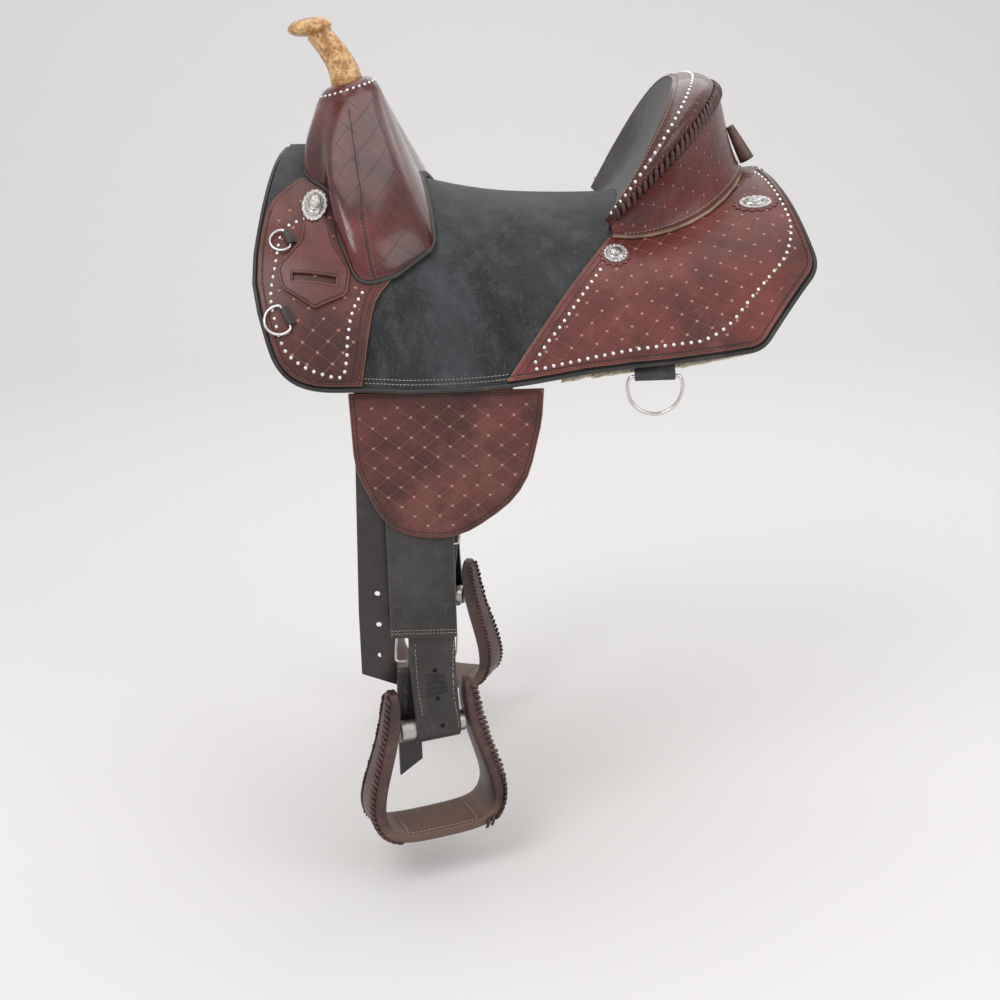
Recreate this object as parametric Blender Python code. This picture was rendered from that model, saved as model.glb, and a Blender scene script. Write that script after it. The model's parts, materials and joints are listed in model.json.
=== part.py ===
"""Treeless barrel saddle in metres, +Z up, horn towards -X, near (left) side towards -Y.

The origin lies under the spine line, where the lowest part of the seat rests on the horse's back.
Leather layers are cut as flat patterns. A point of a pattern is (x, s): x along the horse and s the
distance down from the spine line, measured along the leather. drape() lays it on the body.
"""

import math

import bmesh
import bpy
import numpy as np
from mathutils import Vector
from mathutils.geometry import delaunay_2d_cdt

# Layers, from the horse outwards
FLEECE_THICKNESS = 0.0110
PADDING_THICKNESS = 0.0105
COVER_THICKNESS = 0.0035
PANEL_THICKNESS = 0.0035
CANTLE_BASE_THICKNESS = 0.0030
SKIN_THICKNESS = 0.0030
LAYER_GAP = 0.0007
PATCH_GAP = 0.0010
SEATED_GAP = 0.0002
FIT_GAP = 0.0004
SEAT_HEIGHT = FLEECE_THICKNESS + PADDING_THICKNESS + COVER_THICKNESS + 2 * LAYER_GAP

# Shape of the draped body: height of the spine line above the seat's low point
SPINE_LINE = (
    (-0.340, 0.056),
    (-0.300, 0.061),
    (-0.260, 0.060),
    (-0.200, 0.045),
    (-0.140, 0.0235),
    (-0.060, 0.005),
    (0.030, -0.002),
    (0.120, -0.001),
    (0.200, 0.009),
    (0.260, 0.018),
    (0.300, 0.017),
    (0.340, 0.009),
)
HALF_SPAN = 0.250
EDGE_DROP = 0.185
EDGE_ANGLE = math.radians(72)
GRID_X = 0.045
GRID_S = 0.030

# Skirt pattern, near half: (x, s, corner radius), from the front of the spine to its rear
SKIRT = (
    (-0.297, 0.000, 0.000),
    (-0.325, 0.245, 0.200),
    (-0.290, 0.381, 0.075),
    (-0.120, 0.345, 0.300),
    (0.080, 0.309, 0.300),
    (0.255, 0.308, 0.030),
    (0.326, 0.205, 0.045),
    (0.296, 0.060, 0.100),
    (0.286, 0.000, 0.000),
)
SPINE_CHANNEL = 0.006
FLEECE_INSET = 0.002
PADDING_INSET = 0.001
PANEL_INSET = 0.006

# Panels, cut to these regions of the skirt pattern: (x, s, corner radius)
FRONT_REGION = (
    (-0.400, -0.010, 0.0),
    (-0.128, -0.010, 0.0),
    (-0.128, 0.165, 0.020),
    (-0.185, 0.255, 0.080),
    (-0.207, 0.400, 0.0),
    (-0.400, 0.400, 0.0),
)
REAR_REGION = (
    (0.128, -0.010, 0.0),
    (0.400, -0.010, 0.0),
    (0.400, 0.400, 0.0),
    (-0.046, 0.400, 0.0),
    (-0.038, 0.326, 0.010),
    (0.100, 0.120, 0.015),
)

# Pommel and horn
POMMEL_FOOT = (
    (-0.2665, 0.000, 0.000),
    (-0.2660, 0.100, 0.030),
    (-0.2310, 0.125, 0.030),
    (-0.2250, 0.185, 0.040),
    (-0.2020, 0.243, 0.010),
    (-0.1600, 0.219, 0.045),
    (-0.1150, 0.168, 0.030),
    (-0.1210, 0.110, 0.060),
    (-0.1370, 0.000, 0.000),
)
POMMEL_SPOKES = 40
POMMEL_LEVELS = 6
POMMEL_SWELL = 0.034
POMMEL_FRONT_SWELL = 0.006
POMMEL_SWELL_FORWARD = 0.4
COLLAR_CENTRE = (-0.218, 0.151)
COLLAR_HALF_LENGTH = 0.0395
COLLAR_HALF_WIDTH = 0.036
COLLAR_TILT = math.radians(15)
COLLAR_SHOULDER = 0.015
HORN_FOOT_RADIUS = 0.0200
HORN_NECK_RADIUS = 0.0160
HORN_RISE = 0.060
HORN_LEAN = -0.030
HORN_WRAP_THICKNESS = 0.0045
HORN_CAP_CENTRE = (-0.2600, 0.2325)
HORN_CAP_HALF_LENGTH = 0.0265
HORN_CAP_HALF_WIDTH = 0.0250
HORN_CAP_HALF_HEIGHT = 0.0090
HORN_CAP_TILT = math.radians(6)

# Cantle: the rim's curve is (x, distance from the middle, height), the foot's curves are (x, s)
RIM_FOOT = (0.083, 0.126)
RIM_FOOT_RISE = 0.010
RIM_HANDLE_LOW = (0.130, 0.190, 0.085)
RIM_HANDLE_HIGH = (0.170, 0.120, 0.166)
RIM_TOP = (0.174, 0.0, 0.160)
DISH_FOOT = ((0.088, 0.118), (0.098, 0.080), (0.106, 0.040), (0.106, 0.0))
BACK_FOOT = ((0.092, 0.138), (0.150, 0.155), (0.257, 0.125), (0.257, 0.0))
CANTLE_SECTIONS = 18
DISH_STEPS = 3
BACK_STEPS = 8
BINDING_STEPS = 4
DISH_HOLLOW = 0.014
CANTLE_SKIN = 0.0024
CROWN_RISE = 0.17
CROWN_REACH = 0.72
MOST_CROWN_SHARE = 25 / 36
BACK_RISE = 0.63
BACK_REACH = 0.46
THIN_HEIGHT = 0.110
CORE_HEIGHT = 0.050
CANTLE_MIDDLE = 0.170
CANTLE_BASE_LIP = 0.003
CANTLE_BASE_FRONT = 0.0135
ROLL_TOP = (0.2449, 0.1007, 0.0048)
ROLL_FOOT = (0.2666, 0.0600, 0.0095)

# Conchos: place on the pattern (x, s), half length along x, half length along s, crown
FRONT_CONCHO = (-0.2530, 0.1510, 0.0145, 0.0240, 0.0075)
REAR_CONCHO = (0.094, 0.166, 0.0140, 0.0140, 0.0055)
OVAL_CONCHO = (0.262, 0.110, 0.0195, 0.0120, 0.0065)
CONCHO_RIM = 0.0022

# Slotted latigo keeper that hangs from the front concho: (x, s, corner radius)
KEEPER_X = -0.2515
KEEPER_TOP = 0.1800
KEEPER_OUTLINE = (
    (-0.2355, 0.1800, 0.002),
    (-0.2300, 0.2000, 0.030),
    (-0.2120, 0.2270, 0.014),
    (-0.2150, 0.2560, 0.014),
    (-0.2515, 0.2780, 0.003),
    (-0.2880, 0.2560, 0.014),
    (-0.2925, 0.2310, 0.014),
    (-0.2670, 0.1990, 0.020),
    (-0.2650, 0.1800, 0.002),
)
KEEPER_THICKNESS = 0.0045
KEEPER_SLOT = (0.2380, 0.2480)
KEEPER_SLOT_HALF_WIDTH = 0.0245
KEEPER_LIFT_LIMIT = 35

# Dees: place of the straight bar on the pattern (x, s), turn of the bar, width, reach, wire radius
FRONT_DEE_UPPER = (-0.2820, 0.1950, math.radians(66), 0.027, 0.021, 0.0016)
FRONT_DEE_LOWER = (-0.2830, 0.2890, math.radians(66), 0.034, 0.026, 0.0018)
REAR_DEE_X = 0.132
REAR_DEE_WIDTH = 0.064
REAR_DEE_REACH = 0.046
REAR_DEE_WIRE = 0.0024
DEE_STRAP_THICKNESS = 0.0018
DEE_STRAP_LENGTH = 0.0075
WEBBING_THICKNESS = 0.0030
WEBBING_WIDTH = 0.046
WEBBING_LENGTH = 0.030

# Pocket behind the skirt's lower edge, where the fender hangs
POCKET_FRONT = -0.240
POCKET_REAR = 0.026
POCKET_TOP = 0.262

# Hanger: a swivel on a riveted plate, then the hinge line of the fender just under the skirt
FENDER_INSET = 0.022
FENDER_PLANE = HALF_SPAN - FENDER_INSET
FENDER_X = -0.118
SWIVEL_X = -0.137
SWIVEL_Z = -0.140
PIN_RADIUS = 0.0040
PIN_HEAD_RADIUS = 0.0068
PIN_HEAD_THICKNESS = 0.0012
EYE_RADIUS = 0.0105
PLATE_THICKNESS = 0.0020
PLATE_WIDTH = 0.050
HINGE_Z = -0.160
HANGER_FOOT_REAR = -0.088
FENDER_THICKNESS = 0.0035

# Fender, its tooled flap, the sleeve and the stirrup leather
FENDER_TOP_WIDTH = 0.120
FENDER_FOOT_Z = -0.400
FLAP_FRONT = -0.218
FLAP_REAR = 0.006
FLAP_TOP_Z = -0.1615
FLAP_BOTTOM_Z = -0.334
FLAP_THICKNESS = 0.0035
SLEEVE_X = -0.143
SLEEVE_WIDTH = 0.079
SLEEVE_WALL = 0.0020
SLEEVE_TOP_Z = -0.300
SLEEVE_BOTTOM_Z = -0.466
LEATHER_OFFSET = 0.0045
LEATHER_WIDTH = 0.056
LEATHER_THICKNESS = 0.0040
LEATHER_TOP_Z = -0.345
PLY_GAP = 0.0006
TAIL_OFFSET = -0.0215
TAIL_WIDTH = 0.0290
TAIL_TOP_Z = -0.510
TAIL_BOTTOM_Z = -0.650
TAIL_SLANT = 0.017
TAIL_THICKNESS = 0.0032
BUCKLE_OFFSET = -0.0015
BUCKLE_WIDTH = 0.074
BUCKLE_HEIGHT = 0.034
BUCKLE_WIRE = 0.0018
BUCKLE_GAP = 0.0015

# Billet strap on a stud behind the hanger
BILLET_X = -0.2000
BILLET_DEPTH = 0.0235
BILLET_PLANE = FENDER_PLANE - BILLET_DEPTH
BILLET_TOP_WIDTH = 0.026
BILLET_WIDTH = 0.043
BILLET_WIDE_Z = -0.440
BILLET_THICKNESS = 0.0032
BILLET_BOTTOM_Z = -0.537
BILLET_SLANT = 0.016
BILLET_HOLE_RADIUS = 0.0035
BILLET_HOLE_PITCH = 0.040
STUD_Z = -0.1475
STUD_RADIUS = 0.0033
STUD_SPACER_RADIUS = 0.0060

# Stirrup: its axis, how far it is turned round the vertical, and the centre line of one leg from
# the tread's middle to the leg's top about that axis: (sideways, height, thickness, depth)
STIRRUP_X = -0.139
STIRRUP_OFFSET = -0.0020
STIRRUP_TURN = math.radians(22)
ROLLER_RADIUS = 0.0131
ROLLER_REACH = 0.0410
ROLLER_Z = -0.583
STIRRUP_LEG = (
    (0.0000, -0.1300, 0.016, 0.068),
    (0.0500, -0.1295, 0.016, 0.068),
    (0.0715, -0.1200, 0.018, 0.064),
    (0.0795, -0.0960, 0.020, 0.056),
    (0.0755, -0.0700, 0.021, 0.048),
    (0.0655, -0.0380, 0.021, 0.041),
    (0.0560, -0.0080, 0.021, 0.036),
    (0.0500, 0.0250, 0.020, 0.033),
    (0.0485, 0.0470, 0.016, 0.028),
    (0.0485, 0.0545, 0.010, 0.018),
)

# Finishes: base colour, roughness, metallic
FINISHES = {
    "tooled_leather": ((0.20, 0.045, 0.030), 0.38, 0.0),
    "binding_leather": ((0.11, 0.022, 0.018), 0.32, 0.0),
    "suede": ((0.035, 0.035, 0.038), 0.90, 0.0),
    "black_leather": ((0.025, 0.023, 0.022), 0.60, 0.0),
    "fleece": ((0.72, 0.63, 0.46), 0.95, 0.0),
    "felt": ((0.05, 0.05, 0.05), 0.95, 0.0),
    "rawhide": ((0.66, 0.42, 0.17), 0.45, 0.0),
    "core": ((0.45, 0.33, 0.20), 0.70, 0.0),
    "steel": ((0.55, 0.55, 0.56), 0.35, 1.0),
    "nickel": ((0.72, 0.71, 0.68), 0.25, 1.0),
    "stirrup_leather": ((0.15, 0.055, 0.035), 0.45, 0.0),
}


# Scene helpers

def clear_scene():
    for obj in list(bpy.data.objects):
        bpy.data.objects.remove(obj, do_unlink=True)


def finish(name):
    """The material of that finish, made once."""
    material = bpy.data.materials.get(name)
    if material is None:
        colour, roughness, metallic = FINISHES[name]
        material = bpy.data.materials.new(name)
        material.use_nodes = True
        shader = material.node_tree.nodes["Principled BSDF"]
        shader.inputs["Base Color"].default_value = (*colour, 1.0)
        shader.inputs["Roughness"].default_value = roughness
        shader.inputs["Metallic"].default_value = metallic
        material.diffuse_color = (*colour, 1.0)
    return material


def new_object(name, mesh, finish_name, smooth_angle=40):
    obj = bpy.data.objects.new(name, mesh)
    bpy.context.scene.collection.objects.link(obj)
    mesh.materials.clear()
    mesh.materials.append(finish(finish_name))
    mesh.shade_smooth()
    mesh.set_sharp_from_angle(angle=math.radians(smooth_angle))
    return obj


def mesh_of(name, points, faces, origin=None):
    """A closed mesh with its faces out; its object's origin is put at the given point."""
    shift = Vector(origin) if origin else Vector()
    shape = bmesh.new()
    verts = [shape.verts.new(Vector(point) - shift) for point in points]
    for face in faces:
        shape.faces.new([verts[i] for i in face])
    bmesh.ops.recalc_face_normals(shape, faces=shape.faces)
    mesh = bpy.data.meshes.new(name)
    shape.to_mesh(mesh)
    shape.free()
    return mesh


def add_solid(name, points, faces, finish_name, origin=None):
    obj = new_object(name, mesh_of(name, points, faces, origin), finish_name)
    if origin:
        obj.location = origin
    return obj


def merge(obj, others, operation="UNION"):
    """Joins the other objects to obj, or cuts them from it, and removes them."""
    for other in others:
        modifier = obj.modifiers.new("merge", "BOOLEAN")
        modifier.operation = operation
        modifier.object = other
        bpy.context.view_layer.update()
        graph = bpy.context.evaluated_depsgraph_get()
        mesh = bpy.data.meshes.new_from_object(obj.evaluated_get(graph))
        obj.modifiers.clear()
        obj.data = mesh
        bpy.data.objects.remove(other, do_unlink=True)
    obj.data.shade_smooth()
    obj.data.set_sharp_from_angle(angle=math.radians(40))
    return obj


# Flat patterns

def rounded(corners, arc_step=math.radians(24)):
    """Outline through the corners (u, v, radius), each rounded by an arc; the ends of a run with radius 0 stay."""
    count = len(corners)
    points = []
    for i, (u, v, radius) in enumerate(corners):
        here = Vector((u, v))
        if radius == 0.0:
            points.append(here)
            continue
        before = (Vector(corners[i - 1][:2]) - here)
        after = (Vector(corners[(i + 1) % count][:2]) - here)
        angle = before.angle(after)
        cut = min(radius / math.tan(angle / 2), 0.45 * before.length, 0.45 * after.length)
        start = here + before.normalized() * cut
        end = here + after.normalized() * cut
        steps = max(1, round((math.pi - angle) / arc_step))
        for k in range(steps + 1):
            t = k / steps
            points.append((1 - t) ** 2 * start + 2 * t * (1 - t) * here + t ** 2 * end)
    return points


def densify(points, step):
    """The closed outline with its long edges divided."""
    result = []
    for here, after in zip(points, points[1:] + points[:1]):
        pieces = max(1, math.ceil((after - here).length / step - 0.01))
        result += [here.lerp(after, k / pieces) for k in range(pieces)]
    return result


def inset(points, distance):
    """The closed outline moved inwards by a distance."""
    area = sum(a.x * b.y - b.x * a.y for a, b in zip(points, points[1:] + points[:1]))
    turn = 1 if area > 0 else -1
    result = []
    for before, here, after in zip(points[-1:] + points[:-1], points, points[1:] + points[:1]):
        first = (here - before).normalized()
        second = (after - here).normalized()
        bisector = Vector((-(first.y + second.y), first.x + second.x)).normalized() * turn
        inward = Vector((-first.y, first.x)) * turn
        result.append(here + bisector * distance / max(0.35, bisector.dot(inward)))
    return result


def box_outline(low_u, high_u, low_v, high_v):
    return [Vector(p) for p in ((low_u, low_v), (high_u, low_v), (high_u, high_v), (low_u, high_v))]


def circle_outline(centre_u, centre_v, radius, steps=12):
    return [
        Vector((
            centre_u + radius * math.cos(math.tau * k / steps),
            centre_v + radius * math.sin(math.tau * k / steps),
        ))
        for k in range(steps)
    ]


def cut_pattern(inside, holes, grid):
    """Points and triangles of the area inside every outline of inside and outside every hole."""
    points, faces = [], []
    for outline in inside + holes:
        face = list(range(len(points), len(points) + len(outline)))
        area = sum(a.x * b.y - b.x * a.y for a, b in zip(outline, outline[1:] + outline[:1]))
        faces.append(face if area > 0 else face[::-1])
        points += outline
    low_u, high_u = min(p.x for p in inside[0]), max(p.x for p in inside[0])
    low_v, high_v = min(p.y for p in inside[0]), max(p.y for p in inside[0])
    if grid:
        edge = list(points)
        clear = 0.4 * min(grid)
        for i in range(math.floor(low_u / grid[0]), math.ceil(high_u / grid[0]) + 1):
            for j in range(math.floor(low_v / grid[1]), math.ceil(high_v / grid[1]) + 1):
                spot = Vector((i * grid[0], j * grid[1]))
                if min((spot - p).length for p in edge) > clear:
                    points.append(spot)
    found = delaunay_2d_cdt(points, [], faces, 0, 1e-7, True)
    verts, triangles, origins = found[0], found[2], found[5]
    wanted = set(range(len(inside)))
    kept = [
        face for face, origin in zip(triangles, origins)
        if wanted <= set(origin) and not set(origin) - wanted
    ]
    used = sorted({i for face in kept for i in face})
    place = {old: new for new, old in enumerate(used)}
    return [verts[i] for i in used], [[place[i] for i in face] for face in kept]


def pattern_solid(name, inside, low, high, place, finish_name, holes=(), grid=None, origin=None):
    """A sheet cut to a pattern, between two heights, laid out by place(u, v, height)."""
    flat, triangles = cut_pattern(list(inside), list(holes), grid)
    points = [place(p.x, p.y, high) for p in flat] + [place(p.x, p.y, low) for p in flat]
    count = len(flat)
    edges = {}
    for face in triangles:
        for a, b in zip(face, face[1:] + face[:1]):
            edges[(a, b)] = True
    faces = [list(face) for face in triangles]
    faces += [[i + count for i in reversed(face)] for face in triangles]
    faces += [[b, a, a + count, b + count] for a, b in edges if (b, a) not in edges]
    return add_solid(name, points, faces, finish_name, origin)


def halves(a, b, c, d):
    """The two triangles of a four-sided face, always split from its first point."""
    return [[a, b, c], [a, c, d]]


def loft(name, rings, finish_name, origin=None):
    """A closed solid through rings of equally many points, with both ends capped."""
    size = len(rings[0])
    points = [point for ring in rings for point in ring]
    faces = [list(range(size))[::-1], [len(points) - size + k for k in range(size)]]
    for r in range(len(rings) - 1):
        low, high = r * size, (r + 1) * size
        for k in range(size):
            after = (k + 1) % size
            faces += halves(low + k, low + after, high + after, high + k)
    return add_solid(name, points, faces, finish_name, origin)


def closed_loft(name, rings, finish_name, origin=None):
    """A closed solid through rings that come round to the first one again."""
    size, turns = len(rings[0]), len(rings)
    points = [point for ring in rings for point in ring]
    faces = []
    for r in range(turns):
        follow = (r + 1) % turns
        for k in range(size):
            after = (k + 1) % size
            faces.append([
                r * size + k, r * size + after, follow * size + after, follow * size + k
            ])
    return add_solid(name, points, faces, finish_name, origin)


def sheet_between(name, outer, inner, finish_name, wraps):
    """A shell between two grids of points. wraps says that each row comes round to its start."""
    rows, columns = len(outer), len(outer[0])
    points = [p for row in outer for p in row] + [p for row in inner for p in row]
    back = rows * columns
    faces = []
    steps = columns if wraps else columns - 1
    for r in range(rows - 1):
        for c in range(steps):
            d = (c + 1) % columns
            low, high = r * columns, (r + 1) * columns
            for face in halves(low + c, low + d, high + d, high + c):
                faces.append(face)
                faces.append([i + back for i in reversed(face)])
    for c in range(steps):
        d = (c + 1) % columns
        faces.append([d, c, c + back, d + back])
        last = (rows - 1) * columns
        faces.append([last + c, last + d, last + d + back, last + c + back])
    if not wraps:
        for r in range(rows - 1):
            a, b = r * columns, (r + 1) * columns
            faces.append([a, b, b + back, a + back])
            a, b = a + columns - 1, b + columns - 1
            faces.append([b, a, a + back, b + back])
    return add_solid(name, points, faces, finish_name)


def bezier(controls, t):
    """Point of a cubic curve with four control points."""
    a, b, c, d = (Vector(p) for p in controls)
    u = 1 - t
    return u ** 3 * a + 3 * u * u * t * b + 3 * u * t * t * c + t ** 3 * d


# The draped body

def spine(x):
    """Height of the spine line at x, and its slope."""
    xs = [p[0] for p in SPINE_LINE]
    zs = [p[1] for p in SPINE_LINE]
    slopes = np.gradient(zs, xs)
    i = int(np.clip(np.searchsorted(xs, x) - 1, 0, len(xs) - 2))
    span = xs[i + 1] - xs[i]
    t = (x - xs[i]) / span
    rise = (
        (2 * t ** 3 - 3 * t ** 2 + 1) * zs[i]
        + (t ** 3 - 2 * t ** 2 + t) * span * slopes[i]
        + (3 * t ** 2 - 2 * t ** 3) * zs[i + 1]
        + (t ** 3 - t ** 2) * span * slopes[i + 1]
    )
    slope = (
        6 * (t ** 2 - t) * zs[i] / span
        + (3 * t ** 2 - 4 * t + 1) * slopes[i]
        + 6 * (t - t ** 2) * zs[i + 1] / span
        + (3 * t ** 2 - 2 * t) * slopes[i + 1]
    )
    return rise + SEAT_HEIGHT, slope


def cross_section(x):
    """Half axes of the body's elliptic cross-section at x: sideways and down."""
    top, _ = spine(x)
    drop = top - (SEAT_HEIGHT - EDGE_DROP)
    return HALF_SPAN / math.sin(EDGE_ANGLE), drop / (1 - math.cos(EDGE_ANGLE))


ANGLES = np.linspace(0.0, math.radians(100), 120)


def angle_at(x, s):
    """Angle round the cross-section at which the leather has run the distance s from the spine."""
    wide, deep = cross_section(x)
    speed = np.sqrt((wide * np.cos(ANGLES)) ** 2 + (deep * np.sin(ANGLES)) ** 2)
    steps = 0.5 * (speed[1:] + speed[:-1]) * np.diff(ANGLES)
    return float(np.interp(s, np.concatenate([[0.0], np.cumsum(steps)]), ANGLES))


def surface_frame(x, s, side=-1):
    """Point of the seat cover's outer face, and the directions along x, down the side and outwards."""
    angle = angle_at(x, abs(s))
    wide, deep = cross_section(x)
    top, slope = spine(x)
    if s < 0:
        side = -side
    point = Vector((x, side * wide * math.sin(angle), top - deep * (1 - math.cos(angle))))
    down = Vector((0.0, side * wide * math.cos(angle), -deep * math.sin(angle))).normalized()
    climb = slope * (1 - (1 - math.cos(angle)) / (1 - math.cos(EDGE_ANGLE)))
    out = Vector((1.0, 0.0, climb)).cross(down)
    out = out.normalized() * (1 if out.z * math.cos(angle) + out.y * side > 0 else -1)
    along = down.cross(out)
    along = along if along.x > 0 else -along
    return point, along, down, out


def drape(side=-1):
    """The function that lays a pattern point on one side of the body at a height above the cover."""
    def place(x, s, lift):
        point, _, _, out = surface_frame(x, s, side)
        return point + out * lift
    return place


def edge_s(x):
    """Distance down the pattern at which the skirt ends at x."""
    outline = rounded(SKIRT)
    crossings = []
    for a, b in zip(outline, outline[1:]):
        if (a.x - x) * (b.x - x) <= 0 and a.x != b.x:
            crossings.append(a.lerp(b, (x - a.x) / (b.x - a.x)).y)
    return max(crossings)


def both_sides(near):
    """Closed pattern over both sides, from the near half's run along its edge."""
    return near + [Vector((p.x, -p.y)) for p in reversed(near[1:-1])]


def skirt_outline(margin=0.0):
    """The skirt's whole pattern, moved inwards by a margin."""
    outline = both_sides(rounded(SKIRT))
    return divided(inset(outline, margin) if margin else outline)


def one_side(spine_gap):
    """The part of the pattern that lies on one side, off the spine line by a gap."""
    reach = 0.36
    columns = round(reach / GRID_X)
    line = [Vector((k * GRID_X, spine_gap)) for k in range(-columns, columns + 1)]
    return line + [Vector((reach, 0.5)), Vector((-reach, 0.5))]


def divided(outline):
    return densify(outline, GRID_S)


# Heights of the layers above the cover's outer face
PADDING_TOP = -COVER_THICKNESS - LAYER_GAP
FLEECE_TOP = PADDING_TOP - PADDING_THICKNESS - LAYER_GAP
FLEECE_BOTTOM = FLEECE_TOP - FLEECE_THICKNESS
PANEL_BOTTOM = PATCH_GAP
PANEL_TOP = PANEL_BOTTOM + PANEL_THICKNESS
FOOT_LIFT = PANEL_TOP + PATCH_GAP
CANTLE_LIFT = FOOT_LIFT + CANTLE_BASE_THICKNESS + PATCH_GAP
SIDES = ((-1, "left"), (1, "right"))


def make_layers():
    """Fleece, padding, seat cover and the tooled panels."""
    grid = (GRID_X, GRID_S)
    pattern_solid(
        "seat_cover", [skirt_outline()], -COVER_THICKNESS, 0.0, drape(), "suede", grid=grid
    )
    pocket = divided(rounded((
        (POCKET_FRONT, 0.45, 0.0),
        (POCKET_FRONT, POCKET_TOP, 0.02),
        (POCKET_REAR, POCKET_TOP, 0.02),
        (POCKET_REAR, 0.45, 0.0),
    )))
    notch = webbing_notch()
    half = one_side(SPINE_CHANNEL / 2)
    panel_half = one_side(LAYER_GAP / 2)
    for side, word in SIDES:
        place = drape(side)
        pattern_solid(
            f"fleece_pad_{word}", [skirt_outline(FLEECE_INSET), half], FLEECE_BOTTOM, FLEECE_TOP,
            place, "fleece", holes=[pocket], grid=grid,
        )
        pattern_solid(
            f"padding_{word}", [skirt_outline(PADDING_INSET), half], FLEECE_TOP + LAYER_GAP,
            PADDING_TOP, place, "felt", holes=[pocket, notch], grid=grid,
        )
        for name, region in (("front_panel", FRONT_REGION), ("rear_panel", REAR_REGION)):
            pattern_solid(
                f"{name}_{word}",
                [skirt_outline(PANEL_INSET), panel_half, divided(rounded(region))],
                PANEL_BOTTOM, PANEL_TOP, place, "tooled_leather", grid=grid,
            )


def webbing_notch():
    """Cut in the padding for the webbing that holds the rear dee."""
    half = WEBBING_WIDTH / 2 + 2 * FIT_GAP
    top = edge_s(REAR_DEE_X) - WEBBING_LENGTH - FIT_GAP
    return divided(box_outline(REAR_DEE_X - half, REAR_DEE_X + half, top, 0.45))


# Pommel and horn

def foot_outline(margin):
    """Closed pattern of the pommel's foot over both sides, moved inwards by a margin."""
    outline = evenly(both_sides(rounded(POMMEL_FOOT)), POMMEL_SPOKES)
    return inset(outline, margin) if margin else outline


def evenly(outline, count):
    """That many points, evenly spaced round a closed outline from its first point."""
    closed = outline + outline[:1]
    runs = [0.0]
    for a, b in zip(closed, closed[1:]):
        runs.append(runs[-1] + (b - a).length)
    result = []
    for k in range(count):
        run = runs[-1] * k / count
        i = max(j for j in range(len(outline)) if runs[j] <= run + 1e-12)
        result.append(closed[i].lerp(closed[i + 1], (run - runs[i]) / (runs[i + 1] - runs[i])))
    return result


def collar_ring(centre, half_length, half_width, count):
    """Tilted ellipse round the horn's foot, from its front round the near side."""
    ring = []
    for k in range(count):
        angle = math.tau * k / count
        run = -half_length * math.cos(angle)
        ring.append(Vector((
            centre[0] + run * math.cos(COLLAR_TILT),
            -half_width * math.sin(angle),
            centre[1] + run * math.sin(COLLAR_TILT),
        )))
    return ring


def pommel_skin():
    """Rings of points up the pommel's outer skin, from its foot to the horn's opening."""
    count = POMMEL_SPOKES
    foot = [drape()(p.x, p.y, FOOT_LIFT) for p in foot_outline(0.0)]
    collar = collar_ring(COLLAR_CENTRE, COLLAR_HALF_LENGTH, COLLAR_HALF_WIDTH, count)
    opening = HORN_FOOT_RADIUS + 2 * FIT_GAP
    top = (COLLAR_CENTRE[0], COLLAR_CENTRE[1] + COLLAR_SHOULDER)
    neck = collar_ring(top, opening, opening, count)
    rings = [foot]
    for level in range(1, POMMEL_LEVELS + 1):
        t = level / POMMEL_LEVELS
        ring = []
        for k, (low, high) in enumerate(zip(foot, collar)):
            angle = math.tau * k / count
            swell = POMMEL_SWELL * abs(math.sin(angle)) ** 1.5
            swell += POMMEL_FRONT_SWELL * max(0.0, math.cos(angle))
            forward = POMMEL_SWELL_FORWARD * max(0.0, math.cos(angle))
            out = Vector((-forward, -math.sin(angle), 0.0))
            ring.append(low.lerp(high, t) + out * math.sin(math.pi * t ** 0.8) * swell)
        rings.append(ring)
    rise = Vector((0.0, 0.0, 0.35 * COLLAR_SHOULDER))
    between = [low.lerp(high, 0.5) + rise for low, high in zip(collar, neck)]
    return rings + [between, neck]


def moved_in(rings, margin, foot_lift):
    """The pommel's rings moved in by a margin, with the foot on the body and the neck lowered."""
    wrapped = [ring[-1:] + ring + ring[:1] for ring in rings]
    normals = [line[1:-1] for line in grid_normals(wrapped)]
    inner = [
        [p - n * margin for p, n in zip(ring, line)] for ring, line in zip(rings, normals)
    ]
    inner[0] = [drape()(p.x, p.y, foot_lift) for p in foot_outline(margin)]
    inner[-1] = [p - Vector((0.0, 0.0, margin)) for p in rings[-1]]
    return inner


def make_pommel():
    outer = pommel_skin()
    inner = moved_in(outer, SKIN_THICKNESS, FOOT_LIFT)
    sheet_between("pommel_cover", outer, inner, "tooled_leather", wraps=True)
    margin = SKIN_THICKNESS + 2 * LAYER_GAP
    core = moved_in(outer, margin, FOOT_LIFT + FIT_GAP)
    loft_filled("pommel_core", foot_outline(margin), core, "core")


def loft_filled(name, outline, rings, finish_name):
    """A loft whose floor follows the body inside the outline of its foot."""
    size = len(rings[0])
    flat, triangles = cut_pattern([outline], [], (GRID_X, GRID_S))
    floor = [drape()(p.x, p.y, FOOT_LIFT + FIT_GAP) for p in flat]
    points = floor + [point for ring in rings[1:] for point in ring]
    rows = [list(range(size))]
    rows += [[len(floor) + r * size + k for k in range(size)] for r in range(len(rings) - 1)]
    faces = [list(face) for face in triangles] + [rows[-1]]
    for low, high in zip(rows, rows[1:]):
        for k in range(size):
            after = (k + 1) % size
            faces += halves(low[k], low[after], high[after], high[k])
    return add_solid(name, points, faces, finish_name)


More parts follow.
